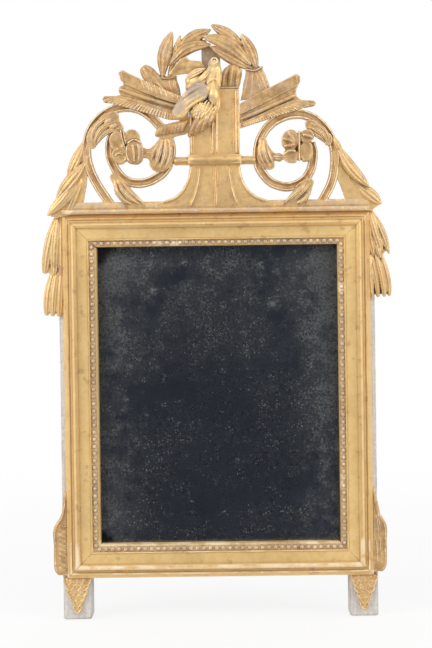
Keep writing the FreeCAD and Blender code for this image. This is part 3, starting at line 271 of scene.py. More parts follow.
# Blanks: a straight leaf or band of unit length, width and height, made once and copied.
BLANK_FORMS = {
    # widths from root to tip, heights from root to tip, heights across
    "laurel": (
        (0.24, 0.46, 0.68, 0.86, 0.97, 1.0, 0.97, 0.88, 0.71, 0.46, 0.08),
        (0.66, 0.82, 0.92, 0.98, 1.0, 1.0, 1.0, 0.96, 0.9, 0.8, 0.6),
        (0.34, 0.58, 0.84, 0.62, 0.74, 1.0, 0.74, 0.62, 0.84, 0.58, 0.34),
    ),
    "husk": (
        (0.5, 0.74, 0.9, 0.98, 1.0, 0.98, 0.92, 0.82, 0.66, 0.44, 0.08),
        (0.66, 0.84, 0.95, 1.0, 1.0, 0.98, 0.95, 0.9, 0.84, 0.74, 0.55),
        (0.46, 0.76, 0.62, 0.86, 0.68, 1.0, 0.68, 0.86, 0.62, 0.76, 0.46),
    ),
    "tongue": (
        (0.46, 0.7, 0.86, 0.95, 1.0, 1.0, 1.0, 0.98, 0.92, 0.78, 0.44),
        (0.66, 0.84, 0.95, 1.0, 1.0, 1.0, 1.0, 0.98, 0.94, 0.86, 0.66),
        (0.46, 0.72, 0.86, 0.7, 0.82, 1.0, 0.82, 0.7, 0.86, 0.72, 0.46),
    ),
    "feather": (
        (0.72, 0.9, 1.0, 1.0, 1.0, 1.0, 1.0, 0.98, 0.9, 0.7, 0.3),
        (0.7, 0.9, 1.0, 1.0, 1.0, 1.0, 1.0, 0.97, 0.92, 0.82, 0.62),
        (0.45, 0.8, 0.96, 1.0, 0.96, 0.8, 0.45),
    ),
    "band": (
        (1.0,) * 61,
        (1.0,) * 61,
        (0.7, 1.0, 1.0, 0.86, 0.8, 0.78, 0.8, 0.86, 1.0, 1.0, 0.7),
    ),
    "round": (
        (0.5, 0.86) + (1.0,) * 17 + (0.86, 0.5),
        (0.6, 0.9) + (1.0,) * 17 + (0.9, 0.6),
        (0.4, 0.76, 0.95, 1.0, 0.95, 0.76, 0.4),
    ),
}
blanks = {}


def blank(kind):
    """The master of one kind, lying along X with its root at the origin."""
    if kind in blanks:
        return blanks[kind]
    widths, heights, ribs = BLANK_FORMS[kind]
    bpy.ops.object.select_all(action="DESELECT")
    bpy.ops.mesh.primitive_grid_add(
        x_subdivisions=len(widths) - 1, y_subdivisions=len(ribs) - 1, size=1, location=(0.5, 0, 0))
    master = settle(bpy.context.object)
    master.name = f"blank_{kind}"
    rows = sorted({round(vertex.co.x, 4) for vertex in master.data.vertices})
    columns = sorted({round(vertex.co.y, 4) for vertex in master.data.vertices})
    open_up(master)
    for column, height in zip(columns, ribs):
        pick(master, lambda spot: abs(spot.y - column) < NEAR)
        bpy.ops.transform.translate(value=(0, 0, height))
    for row, width, height in zip(rows, widths, heights):
        pick(master, lambda spot: abs(spot.x - row) < NEAR)
        bpy.ops.transform.resize(value=(1, width, height), center_override=(row, 0, 0))
    bpy.ops.mesh.select_all(action="SELECT")
    bpy.ops.mesh.extrude_region_move(TRANSFORM_OT_translate={"value": (0, 0, -2)})
    bpy.ops.transform.resize(value=(1, 1, 0), center_override=(0, 0, 0))
    sound()
    applied(master, "SUBSURF", levels=1, render_levels=1)
    blanks[kind] = master
    return master


def laid(kind, path, width, rise):
    """A copy of a blank, sized in millimetres and bent along a path."""
    piece = copy_of(blank(kind))
    spots = [metres(spot) for spot in path]
    length = sum((after - before).length for before, after in zip(spots, spots[1:]))
    piece.scale = (length, width * MM, rise * MM)
    settle(piece)
    line = guide_line(path)
    line.data.use_stretch = True
    line.data.use_deform_bounds = True
    applied(piece, "CURVE", object=line, deform_axis="POS_X")
    cleared(line)
    return piece


def rows_of(kind, rows):
    """Blanks of one kind, each given as path, width and rise."""
    return [laid(kind, *row) for row in rows]


def ball(middle, radii, lean=0):
    """A round boss, leaning in the plane of the face."""
    bpy.ops.object.select_all(action="DESELECT")
    bpy.ops.mesh.primitive_uv_sphere_add(segments=28, ring_count=16, radius=1, location=metres(middle))
    boss = bpy.context.object
    boss.scale = Vector(radii) * MM
    boss.rotation_euler.z = math.radians(lean)
    return settle(boss)


def ring(middle, radius, thickness):
    """A small raised ring facing forward."""
    bpy.ops.object.select_all(action="DESELECT")
    bpy.ops.mesh.primitive_torus_add(
        location=metres(middle), major_radius=radius * MM, minor_radius=thickness * MM,
        major_segments=28, minor_segments=10)
    return settle(bpy.context.object)


def board(outline, back, front, edge=1.5, smooth=False):
    """A sawn board with rounded edges."""
    line = guide_line(outline, closed=True, flat=True)
    if not smooth:
        squared(line)
    line.data.fill_mode = "BOTH"
    line.data.extrude = ((front - back) / 2 - edge) * MM
    line.data.bevel_depth = edge * MM
    line.data.bevel_resolution = 2
    line.data.offset = -edge * MM
    only(line)
    bpy.ops.object.convert(target="MESH")
    piece = bpy.context.object
    piece.location.z = (front + back) / 2 * MM
    settle(piece)
    open_up(piece)
    sound()
    return piece


def sawn_block(name, low, high):
    """A plain block that fills a box."""
    bpy.ops.object.select_all(action="DESELECT")
    bpy.ops.mesh.primitive_cube_add(size=1, location=(low + high) / 2)
    piece = bpy.context.object
    piece.name = name
    piece.scale = high - low
    return settle(piece)


# Marks of the tools and of wear: a pattern and its grain in millimetres.
GOUGE = ("tool_marks", 7)
ADZE = ("adze", 26)
RUBBING = ("pearl_wear", 9)
LONG_WOBBLE = ("long_wobble", 30)


def uneven(piece, marks, depth):
    """Give a surface the soft unevenness of handwork."""
    pattern, grain = marks
    texture = bpy.data.textures.get(pattern) or bpy.data.textures.new(pattern, "CLOUDS")
    texture.noise_scale = grain * MM
    texture.noise_depth = 2
    return applied(
        piece, "DISPLACE", texture=texture, texture_coords="GLOBAL", strength=depth, mid_level=0.5)


def smoothed(piece, crease=None):
    """Shade a piece smooth, with the edges sharper than a crease left sharp."""
    only(piece)
    if crease:
        bpy.ops.object.shade_smooth_by_angle(angle=crease)
    else:
        bpy.ops.object.shade_smooth()
    return piece


def skinned(piece, cell, soften, marks, depth):
    """Give a piece one soft skin with the marks of a tool in it."""
    applied(piece, "REMESH", mode="VOXEL", voxel_size=cell)
    applied(piece, "SMOOTH", factor=0.5, iterations=soften)
    uneven(piece, marks, depth)
    return smoothed(piece)


def carved(name, parts, skin=1.0, soften=1, ripple=1.0):
    """Melt parts into one carved and gessoed skin and stand it up."""
    sizes = bpy.context.scene.mirror_carving
    piece = joined(parts)
    piece.name = name
    piece.data.name = name
    piece.rotation_euler.x = math.pi / 2
    settle(piece)
    return skinned(piece, sizes.skin * skin, soften, GOUGE, sizes.ripple * ripple)


def delivered(piece, nodes, look):
    """Give a piece its finish and its place in the model."""
    piece.data.materials.clear()
    piece.data.materials.append(finish(look))
    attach(piece, BODY)
    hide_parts(*nodes)
    return piece


def gilt(piece, node, look):
    """Deliver a gilt piece that stands for one node."""
    return delivered(piece, [node], look)


def dressed(node, look):
    """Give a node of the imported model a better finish."""
    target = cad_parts[node]
    for place in target.material_slots:
        place.material = finish(look)
    if not target.material_slots:
        target.data.materials.append(finish(look))


# Finishes: shader maths written as arithmetic.

class Value:
    """A socket that takes part in sums."""

    def __init__(self, finish, socket):
        self.finish = finish
        self.socket = socket

    def sum(self, operation, first, second):
        return self.finish.make("ShaderNodeMath", {"operation": operation}, {0: first, 1: second})

    def __add__(self, other):
        return self.sum("ADD", self, other)

    def __sub__(self, other):
        return self.sum("SUBTRACT", self, other)

    def __rsub__(self, other):
        return self.sum("SUBTRACT", other, self)

    def __mul__(self, other):
        return self.sum("MULTIPLY", self, other)

    __radd__ = __add__
    __rmul__ = __mul__

    def __abs__(self):
        return self.finish.make("ShaderNodeMath", {"operation": "ABSOLUTE"}, {0: self})

    def sister(self, name):
        """Another output of the same node."""
        return Value(self.finish, self.socket.node.outputs[name])

    def over(self, low, high):
        """0 below low, 1 above high and soft between."""
        settings = {"interpolation_type": "SMOOTHSTEP"}
        sockets = {"Value": self, "From Min": low, "From Max": high}
        return self.finish.make("ShaderNodeMapRange", settings, sockets)


class Finish:
    """A node-based material in the making."""

    def __init__(self, name):
        self.material = bpy.data.materials.new(name)
        self.material.use_nodes = True
        self.tree = self.material.node_tree
        self.shader = self.tree.nodes["Principled BSDF"]
        self.place = self.make("ShaderNodeTexCoord", output="Object")

    def make(self, kind, settings=None, sockets=None, output=0):
        """Add a node, set it, then fill its sockets with numbers or links."""
        node = self.tree.nodes.new(kind)
        for name, value in (settings or {}).items():
            setattr(node, name, value)
        self.fill(node, sockets or {})
        return Value(self, node.outputs[output])

    def fill(self, node, sockets):
        for name, value in sockets.items():
            if isinstance(value, Value):
                self.tree.links.new(value.socket, node.inputs[name])
            else:
                node.inputs[name].default_value = value

    def noise(self, scale, detail=4.0, roughness=0.55, place=None, warp=0.0):
        """Cloudy noise, from 0 to 1."""
        sockets = {
            "Vector": place or self.place, "Scale": scale, "Detail": detail,
            "Roughness": roughness, "Distortion": warp,
        }
        return self.make("ShaderNodeTexNoise", {}, sockets)

    def stretched(self, scale):
        """Object coordinates stretched along the grain."""
        return self.make("ShaderNodeMapping", {}, {"Vector": self.place, "Scale": scale})

    def mix(self, factor, first, second):
        """A colour between two colours."""
        first, second = (
            shade if isinstance(shade, Value) else (*shade, 1.0) for shade in (first, second))
        sockets = {0: factor, 6: first, 7: second}
        return self.make("ShaderNodeMix", {"data_type": "RGBA"}, sockets, output=2)

    def apart(self):
        """The object coordinates one by one."""
        first = self.make("ShaderNodeSeparateXYZ", {}, {0: self.place})
        return {name: first.sister(name) for name in "XYZ"}

    def dots(self, scale, small, large, share):
        """Round specks in some of the cells of a pattern."""
        sockets = {"Vector": self.place, "Scale": float(scale)}
        away = self.make("ShaderNodeTexVoronoi", {}, sockets, output="Distance")
        chance = self.make("ShaderNodeSeparateColor", {}, {0: away.sister("Color")})
        inside = 1 - away.over(small, large)
        return inside * chance.over(share, share + 0.02)

    def hollow(self, reach, samples=6):
        """How deep in a hollow a place lies: 1 in the corner, 0 in the open."""
        settings = {"samples": samples, "only_local": True}
        return 1 - self.make("ShaderNodeAmbientOcclusion", settings, {"Distance": reach}, output="AO")

    def edge(self, low, high):
        """Where the surface bulges."""
        return self.make("ShaderNodeNewGeometry", output="Pointiness").over(low, high)

    def seen(self):
        """1 for what the camera, a reflection or the glass looks at, 0 for light that falls on things."""
        camera = self.make("ShaderNodeLightPath", output="Is Camera Ray")
        others = camera.sister("Is Glossy Ray"), camera.sister("Is Transmission Ray")
        return (camera + others[0] + others[1]).over(0.0, 1.0)

    def bump(self, height, strength, distance):
        sockets = {"Height": height, "Strength": strength, "Distance": distance}
        return self.make("ShaderNodeBump", {}, sockets)

    def done(self, **sockets):
        """Fill the shader and hand the material over."""
        names = {
            "base": "Base Color", "roughness": "Roughness", "metallic": "Metallic", "normal": "Normal",
            "specular": "Specular IOR Level", "ior": "IOR", "transmission": "Transmission Weight",
        }
        self.fill(self.shader, {names[name]: value for name, value in sockets.items()})
        return self.material


class Sky(Finish):
    """The nodes of a world in the making."""

    def __init__(self, name):
        world = bpy.data.worlds.new(name)
        world.use_nodes = True
        bpy.context.scene.world = world
        self.tree = world.node_tree
        self.shader = self.tree.nodes["Background"]


finishes = {}


def finish(name):
    """The finish of that name, made when it is first asked for."""
    if name not in finishes and name in GILDINGS:
        light, deep, wear = GILDINGS[name]
        finishes[name] = gilding(name, getattr(shades(), light), getattr(shades(), deep), **wear)
    elif name not in finishes:
        finishes[name] = FINISH_MAKERS[name](name)
    return finishes[name]


def shades():
    return bpy.context.scene.mirror_colours


def gilding(
        name, light, deep, worn, bole, grey, grime_and_shade, shine, stained=0.3, greyed=None, seams=None, rubbed=None,
        rim=None):
    """Water gilding: leaf over red bole over gesso, rubbed pale at the edges, which also paints highlights
    there, and darkened in the hollows by dirt and painted shade.
    """
    look = Finish(name)
    tints = shades()
    broad = look.noise(9, detail=2)
    middle = look.noise(45, detail=6, roughness=0.65)
    fine = look.noise(420, detail=4)
    leaf = look.mix((middle * 0.6 + look.noise(130, detail=5) * 0.4).over(0.4, 0.62), light, deep)
    leaf = look.mix(broad.over(0.4, 0.7) * 0.2, leaf, tints.gold_brown)
    if rim:
        leaf = look.mix(rim(look) * (0.3 + middle * 0.5), leaf, tints.gold_old)
    stain = look.noise(85, detail=8, roughness=0.75).over(0.52, 0.68)
    leaf = look.mix(stain * stained, leaf, tints.gold_brown)
    wash = look.noise(48, detail=6, warp=0.6).over(0.5, 0.66) * grey
    if greyed:
        wash = wash + greyed(look) * (middle * 2.2 - 0.45)
        wash = wash.over(0, 1)
    leaf = look.mix(wash, leaf, tints.lilac)
    # Pale gesso on bulging edges, in fine flecks and chips: rubbed wear, and also painted highlights and
    # glints along the ridges.
    bulge = look.edge(0.505, 0.545)
    rub = (bulge * (middle + fine * 0.7).over(0.62, 0.95)) * worn
    flecks = look.noise(250, detail=3, roughness=0.7).over(0.57, 0.67) * (0.15 + worn * 0.45)
    chips = bulge * look.noise(15, detail=6, roughness=0.7).over(0.6, 0.64)
    rub = (rub + flecks * (0.35 + bulge) + chips * (0.2 + worn * 0.6)).over(0, 1)
    if rubbed:
        rub = (rub + bulge * rubbed(look) * middle.over(0.36, 0.6) * 0.6).over(0, 1)
    red = look.noise(70, detail=6).over(0.58, 0.68) * bole
    shade = look.mix(red, leaf, tints.bole)
    shade = look.mix(rub, shade, tints.gesso)
    # Darker in creases and pockets: dirt, and also painted shade where the carving closes in.
    crease = look.hollow(3 * MM).over(0.05, 0.42)
    pocket = look.hollow(8 * MM).over(0.22, 0.66)
    dirt = (crease * 0.55 + pocket * 0.6 + fine * 0.3 - 0.14).over(0, 0.95) * grime_and_shade
    shade = look.mix(dirt, shade, tints.grime_and_shade)
    if seams:
        shade = look.mix(seams(look) * (middle * 1.2 - 0.34), shade, tints.grime_and_shade)
    specks = look.noise(800, detail=2).over(0.66, 0.74) * 0.3
    shade = look.mix(specks, shade, tints.grime_and_shade)
    bare = (1 - rub) * (1 - dirt) * (1 - wash * 0.8)
    height = fine * 0.6 + middle * 0.4
    return look.done(
        base=shade, metallic=bare * shine, roughness=0.34 + fine * 0.18 + (1 - bare) * 0.24,
        normal=look.bump(height, 0.3, 0.4 * MM))


# Where the frame's finish changes, in metres: the squared half widths of a dirty mitre, both edges of the
# frieze counted from the outer edge of the frame, and the top of the rubbed lower length.
SEAM = (1.5e-7, 1.2e-6)
FRIEZE_OUTER = (-0.0205, -0.0175)
FRIEZE_INNER = (-0.0425, -0.0415)
LOW_EDGE = (0.104, 0.112)


def mitre_seams(look):
    """1 along the four mitres of the frame."""
    spot = look.apart()
    aside = abs(spot["X"]) - FRAME_WIDTH / 2
    upper = aside - spot["Z"] + FRAME_TOP
    lower = aside + spot["Z"] - FRAME_LOW
    return 1 - (upper * upper).over(*SEAM) * (lower * lower).over(*SEAM)


def outer_rim(look):
    """1 on the mouldings outside the flat frieze and on the lip at the plate."""
    spot = look.apart()
    aside = abs(spot["X"]) - FRAME_WIDTH / 2
    above = abs(spot["Z"] - FRAME_MIDDLE) - FRAME_HEIGHT / 2
    out = aside.sum("MAXIMUM", aside, above)
    return (1 + out.over(*FRIEZE_OUTER) - out.over(*FRIEZE_INNER)).over(0, 1)


def low_edge(look):
    """1 along the lower length of the frame."""
    return 1 - look.apart()["Z"].over(*LOW_EDGE)


# The greyed wing: a line across the face as two factors and a distance, the squared half widths of the
# grey and its two ends, in metres.
WING_SLOPE = (0.574, -0.819, -0.590)
WING_WIDTH = (0.00009, 0.00016)
WING_ENDS = ((-0.404, -0.396), (-0.346, -0.338))


def greyed_wing(look):
    """1 along the dove's folded wing."""
    spot = look.apart()
    across, up = spot["X"], spot["Z"]
    off = across * WING_SLOPE[0] + up * WING_SLOPE[1] - WING_SLOPE[2]
    along_wing = across * WING_SLOPE[1] - up * WING_SLOPE[0]
    start, end = WING_ENDS
    return (1 - (off * off).over(*WING_WIDTH)) * along_wing.over(*start) * (1 - along_wing.over(*end))


# Gildings: the whole leaf, its darker patches and what else sets each apart.
# worn sets the pale rub at the edges, which also paints highlights; the grime share sets the darkening of the
# hollows by dirt and painted shade.
GILDINGS = {
    "frame_gilding": ("gold_light", "gold_deep", dict(
        worn=0.14, bole=0.35, grey=0.05, grime_and_shade=0.7, shine=0.5, stained=0.18, seams=mitre_seams,
        rubbed=low_edge, rim=outer_rim)),
    "crest_gilding": ("gold_old", "gold_brown", dict(
        worn=0.95, bole=0.55, grey=0.35, grime_and_shade=1.0, shine=0.6)),
    "laurel_gilding": ("gold_old", "gold_brown", dict(
        worn=0.7, bole=0.6, grey=0.4, grime_and_shade=1.0, shine=0.6)),
    "broad_gilding": ("gold_warm", "gold_old", dict(
        worn=0.6, bole=0.4, grey=0.2, grime_and_shade=1.0, shine=0.6)),
    "bar_gilding": ("gold_warm", "pearl", dict(
        worn=0.3, bole=0.4, grey=0.12, grime_and_shade=1.0, shine=0.45)),
    "dove_gilding": ("gold_light", "gold_old", dict(
        worn=0.95, bole=0.25, grey=0.6, grime_and_shade=0.9, shine=0.55, greyed=greyed_wing)),
    "mouth_gilding": ("gold_brown", "gold_old", dict(
        worn=0.5, bole=0.3, grey=0.5, grime_and_shade=1.0, shine=0.45)),
    "pearl_gilding": ("pearl", "gold_old", dict(
        worn=0.4, bole=0.5, grey=0.15, grime_and_shade=0.75, shine=0.35)),
    # The batten behind the crest: dull toned gold, darkened partly as painted shade for the shadow behind the
    # wreath.
    "spine_gilding": ("toned_and_shaded", "wood", dict(
        worn=0.2, bole=0.2, grey=0.3, grime_and_shade=0.8, shine=0.15)),
}


def post_paint(name):
    """Distemper over wood, rubbed through at the edges and streaked along the post."""
    look = Finish(name)
    tints = shades()
    streak = look.noise(1.0, detail=5, place=look.stretched((220, 220, 16)))
    patch = look.noise(38, detail=6)
    fine = look.noise(500, detail=3)
    shade = look.mix(streak.over(0.42, 0.72) * 0.5, tints.paint, tints.paint_dirt_and_shade)
    shade = look.mix(patch.over(0.52, 0.7) * 0.3, shade, tints.lilac)
    speckle = look.noise(230, detail=5, roughness=0.7)
    shade = look.mix(speckle.over(0.54, 0.66) * 0.5, shade, tints.paint_dirt_and_shade)
    shade = look.mix((1 - speckle.over(0.36, 0.46)) * 0.5, shade, tints.chalk)
    rub = look.edge(0.51, 0.58) * (patch + fine * 0.4).over(0.5, 0.85)
    shade = look.mix(rub * 0.8, shade, tints.wood)
    # Darker in the hollows of the post: dirt, and also painted shade.
    dirt = (look.hollow(14 * MM) * (0.7 + patch * 0.6)).over(0.25, 0.9) * 0.7
    shade = look.mix(dirt, shade, tints.paint_dirt_and_shade)
    height = streak * 0.6 + fine * 0.4
    return look.done(
        base=shade, roughness=0.72 + fine * 0.15, normal=look.bump(height, 0.4, 0.5 * MM), specular=0.3)


def old_wood(name):
    """Sawn pine gone brown, with its grain upright."""
    look = Finish(name)
    tints = shades()
    bend = look.noise(5, detail=3)
    grain = look.noise(1.0, detail=6, place=look.stretched((190, 120, 6)), warp=0.4)
    rings = look.noise(1.0, detail=3, place=look.stretched((46, 30, 1.6)), warp=0.8)
    fine = look.noise(700, detail=3)
    shade = look.mix(rings.over(0.38, 0.66), tints.wood, tints.wood_dark)
    shade = look.mix(grain.over(0.5, 0.75) * 0.6, shade, tints.wood_dark)
    shade = look.mix(bend.over(0.5, 0.75) * 0.3, shade, tints.paint_dirt_and_shade)
    height = grain * 0.7 + fine * 0.3
    return look.done(
        base=shade, roughness=0.78 + fine * 0.12, normal=look.bump(height, 0.5, 0.6 * MM), specular=0.25)


def forged_iron(name):
    look = Finish(name)
    tints = shades()
    patch = look.noise(120, detail=6)
    fine = look.noise(900, detail=4)
    rust = patch.over(0.48, 0.66)
    shade = look.mix(rust, tints.iron, tints.rust)
    return look.done(
        base=shade, metallic=0.85 - rust * 0.8, roughness=0.48 + rust * 0.35 + fine * 0.1,
        normal=look.bump(fine + patch * 0.5, 0.5, 0.4 * MM))


def plate_glass(name):
    """Old blown plate, faintly wavy."""
    look = Finish(name)
    wave = look.noise(11, detail=2)
    look.shader.inputs["Base Color"].default_value = (0.93, 0.96, 0.95, 1)
    return look.done(
        transmission=1.0, ior=1.5, roughness=0.02, normal=look.bump(wave, 0.08, 2 * MM))


# Corners of the plate where the tin has gone, in metres: how far back the sheet lies, then across, up
# and reach of each.
SHEET_PLACE = 0.003
BARE_CORNERS = ((-0.168, 0.507, 0.040), (-0.168, 0.095, 0.034), (0.168, 0.507, 0.020), (0.168, 0.095, 0.018))


def aged_silvering(name):
    """Tin gone dark and spotty, with a bluish bloom higher up and bare corners."""
    look = Finish(name)
    tints = shades()
    spot = look.apart()
    across, up = spot["X"], spot["Z"]
    cloud = look.noise(9, detail=7, roughness=0.65)
    mottle = look.noise(60, detail=5, roughness=0.6)
    fine = look.noise(300, detail=4, roughness=0.7)
    # Haze that grows upwards and along both sides.
    side = (across * across).over(0.006, 0.026)
    bloom = (up.over(0.25, 0.5) * 0.5 + side * 0.8 + 0.34) * (cloud * 0.6 + mottle * 0.4).over(0.34, 0.6)
    bloom = bloom * (fine * 4.4 - 1.1)
    shade = look.mix(bloom.over(0, 1), tints.silver, tints.haze)
    rust = look.noise(5, detail=3).over(0.5, 0.68) * mottle.over(0.4, 0.7) * 0.3
    shade = look.mix(rust, shade, tints.wood_dark)
    spots = look.noise(480, detail=2).over(0.5, 0.6) * (mottle * 0.5 + cloud * 0.5).over(0.42, 0.56)
    shade = look.mix(spots * 0.6, shade, tints.fox)
    dots = look.dots(300, 0.15, 0.36, 0.3) * (mottle * 0.4 + cloud * 0.6).over(0.42, 0.58) * 0.9
    dots = dots + look.dots(130, 0.06, 0.13, 0.84) * 0.7
    chips = look.noise(60, detail=6, roughness=0.75).over(0.61, 0.7) * 0.5
    pale = (dots * (fine * 1.6) + chips).over(0, 1)
    shade = look.mix(pale, shade, tints.dust)
    gone = None
    for place, high, reach in BARE_CORNERS:
        away = look.make(
            "ShaderNodeVectorMath", {"operation": "DISTANCE"},
            {0: look.place, 1: (place, SHEET_PLACE, high)}, output="Value")
        near = 1 - (away + mottle * 0.018).over(reach * 0.75, reach * 1.25)
        gone = near if gone is None else gone + near
    shade = look.mix(gone.over(0.0, 1.0), shade, tints.fox)
    return look.done(
        base=shade, metallic=0.95 - bloom * 0.7 - pale * 0.6, roughness=0.08 + bloom * 0.2 + pale * 0.4)


FINISH_MAKERS = {
    "post_paint": post_paint,
    "old_wood": old_wood,
    "forged_iron": forged_iron,
    "plate_glass": plate_glass,
    "aged_silvering": aged_silvering,
}


# Gilt frame.

# The section of the moulding, in millimetres: in from its outer edge and forward.
MOULDING_SECTION = (
    (0, 0), (0, 9.4), (0.6, 10.2), (4.1, 12.4), (4.5, 13.2), (4.6, 14.4), (5.4, 15.3), (6.5, 15.4),
    (7.5, 14.7), (8.3, 13.9), (9.8, 14.1), (10.7, 14.9), (11.2, 17.6), (12.0, 19.9), (13.3, 21.4),
    (15.0, 22.0), (16.9, 21.4), (18.2, 19.8), (18.9, 18.0), (19.2, 16.7), (23.0, 16.1), (28.5, 15.7),
    (33.4, 15.7), (33.6, 16.9), (34.2, 17.4), (35.0, 17.2), (35.3, 16.4), (35.3, 11), (42.2, 11),
    (42.2, 12.7), (42.6, 13.2), (43.2, 13.0), (43.5, 12.4), (43.5, 0),
)
# The lip at the plate is broader below and at the left.
BROAD_LIP = MOULDING_SECTION[:-4] + ((42.6, 13.2), (45.2, 13.0), (45.8, 12.2), (45.8, 0))
FRAME_WIDTH = 0.410
FRAME_HEIGHT = 0.486
FRAME_LOW = 0.058
FRAME_TOP = FRAME_LOW + FRAME_HEIGHT
FRAME_MIDDLE = FRAME_LOW + FRAME_HEIGHT / 2
# Each length of the frame: its span, the turn about Y and the place of the middle of its outer edge.
FRAME_LENGTHS = (
    ("top", FRAME_WIDTH, 0, (0, FRAME_TOP)),
    ("right", FRAME_HEIGHT, 90, (FRAME_WIDTH / 2, FRAME_MIDDLE)),
    ("bottom", FRAME_WIDTH, 180, (0, FRAME_LOW)),
    ("left", FRAME_HEIGHT, 270, (-FRAME_WIDTH / 2, FRAME_MIDDLE)),
)
MOULDING_STEP = 0.006
# Faces that meet at more than this stay sharp.
CREASE = math.radians(40)


def run_of(section, length, step):
    """A section drawn on the bench at the left end and drawn out along X in steps."""
    line = guide_line([(forward, -inward, 0) for inward, forward in section], closed=True, flat=True)
    squared(line)
    line.data.resolution_u = 1
    line.data.fill_mode = "NONE"
    only(line)
    bpy.ops.object.convert(target="MESH")
    piece = bpy.context.object
    # Forward was drawn along X and inward along -Y: turn it to -Y and -Z.
    piece.matrix_world = Matrix.Translation((-length / 2, 0, 0)) @ Matrix((
        (0, 0, 1, 0), (-1, 0, 0, 0), (0, 1, 0, 0), (0, 0, 0, 1)))
    settle(piece)
    open_up(piece)
    bpy.ops.mesh.select_all(action="SELECT")
    bpy.ops.mesh.remove_doubles(threshold=WELD)
    bpy.ops.mesh.edge_face_add()
    steps = round(length / step)
    for _ in range(steps):
        bpy.ops.mesh.extrude_region_move(TRANSFORM_OT_translate={"value": (length / steps, 0, 0)})
    sound()
    return piece


def mitred(piece, length):
    """Cut both ends at 45 degrees, the outer edge keeping the whole length."""
    open_up(piece)
    for side in (LEFT, RIGHT):
        bpy.ops.mesh.select_all(action="SELECT")
        bpy.ops.mesh.bisect(
            plane_co=(side * length / 2, 0, 0), plane_no=(side, 0, -1), use_fill=True, clear_outer=True)
    sound()
    return piece


def set_in_frame(piece, angle, place):
    """Turn a length made as the top one and move it to its side of the frame."""
    piece.rotation_euler.y = math.radians(angle)
    piece.location = (place[0], 0, place[1])
    return settle(piece)


class MIRROR_OT_mouldings(bpy.types.Operator):
    """Draw out the four gilt mouldings and mitre them"""

    bl_idname = "mirror.mouldings"
    bl_label = "Gilt mouldings"

    def execute(self, context):
        sizes = context.scene.mirror_carving
        for word, length, angle, place in FRAME_LENGTHS:
            section = BROAD_LIP if word in ("left", "bottom") else MOULDING_SECTION
            piece = mitred(run_of(section, length, MOULDING_STEP), length)
            piece.name = f"gilt_moulding_{word}"
            set_in_frame(piece, angle, place)
            uneven(piece, LONG_WOBBLE, sizes.wobble)
            gilt(smoothed(piece, CREASE), f"{word}_moulding", "frame_gilding")
        return {"FINISHED"}


# The pearl slip, in millimetres: forward to its seat and crown, in from the outer edge to both its sides,
# how many radii the last pearl stays off the corner, and how deep the pearls are rubbed.
PEARL_SEAT = 11.0
PEARL_CROWN = 12.6
PEARL_INNER = 35.35
PEARL_OUTER = 42.15
PEARL_END_SHARE = 1.6
PEARL_WEAR = 0.8


class MIRROR_OT_pearls(bpy.types.Operator):
    """Carve the rows of pearls on their slips"""

    bl_idname = "mirror.pearls"
    bl_label = "Pearl slips"

    def execute(self, context):
        sizes = context.scene.mirror_carving
        radius = sizes.pearl_radius
        middle = (PEARL_INNER + PEARL_OUTER) / 2 * MM
        section = (
            (PEARL_INNER, PEARL_SEAT), (PEARL_INNER, PEARL_CROWN), (PEARL_OUTER, PEARL_CROWN),
            (PEARL_OUTER, PEARL_SEAT),
        )
        bpy.ops.object.select_all(action="DESELECT")
        bpy.ops.mesh.primitive_uv_sphere_add(
            segments=10, ring_count=8, radius=radius, rotation=(math.pi / 2, 0, 0))
        pearl = settle(bpy.context.object)
        open_up(pearl)
        bpy.ops.mesh.select_all(action="SELECT")
        bpy.ops.mesh.bisect(plane_co=(0, 0, 0), plane_no=(0, 1, 0), clear_outer=True, use_fill=False)
        close_up()
        smoothed(pearl)
        for word, length, angle, place in FRAME_LENGTHS:
            strip = mitred(run_of(section, length, MOULDING_STEP), length)
            wished = sizes.side_pearl_pitch if length == FRAME_HEIGHT else sizes.pearl_pitch
            reach = length / 2 - middle - radius * PEARL_END_SHARE
            count = round(2 * reach / wished)
            row = copy_of(pearl)
            row.location = (-reach, -PEARL_CROWN * MM, -middle)
            settle(row)
            applied(
                row, "ARRAY", count=count + 1, use_relative_offset=False, use_constant_offset=True,
                constant_offset_displace=(2 * reach / count, 0, 0))
            piece = joined([row, strip])
            piece.name = f"pearl_slip_{word}"
            set_in_frame(piece, angle, place)
            uneven(piece, RUBBING, PEARL_WEAR * MM)
            gilt(piece, f"{word}_pearls", "pearl_gilding")
        cleared(pearl)
        return {"FINISHED"}


# How far the tin sheet bites into the glass, and the radius of its corners.
SHEET_BITE = 0.12
SHEET_CORNER = 7.0


class MIRROR_OT_plate(bpy.types.Operator):
    """Finish the old plate and lay its tin sheet, bitten a hair into the glass"""

    bl_idname = "mirror.plate"
    bl_label = "Plate and silvering"

    def execute(self, context):
        dressed("mirror_glass", "plate_glass")
        low, high = (Vector(corner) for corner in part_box("silvering"))
        low.y -= SHEET_BITE * MM
        sheet = sawn_block("tin_sheet", low, high)
        open_up(sheet)
        bpy.ops.mesh.select_mode(type="EDGE")
        mesh = bmesh.from_edit_mesh(sheet.data)
        for edge in mesh.edges:
            first, second = (corner.co for corner in edge.verts)
            edge.select = abs(first.y - second.y) > NEAR
        bmesh.update_edit_mesh(sheet.data)
        bpy.ops.mesh.bevel(offset=SHEET_CORNER * MM, segments=8, affect="EDGES")
        close_up()
        delivered(sheet, ["silvering"], "aged_silvering")
        return {"FINISHED"}


# Posts, in millimetres: how far they stay inside their box for the marks of the adze, the depth of those
# marks, the worn edges at the foot and elsewhere, and the cell of the skin.
POST_SHY = 0.4
ADZE_DEPTH = 0.7
FOOT_BEVEL = 3
POST_EDGE = 1
POST_SKIN = 1.6


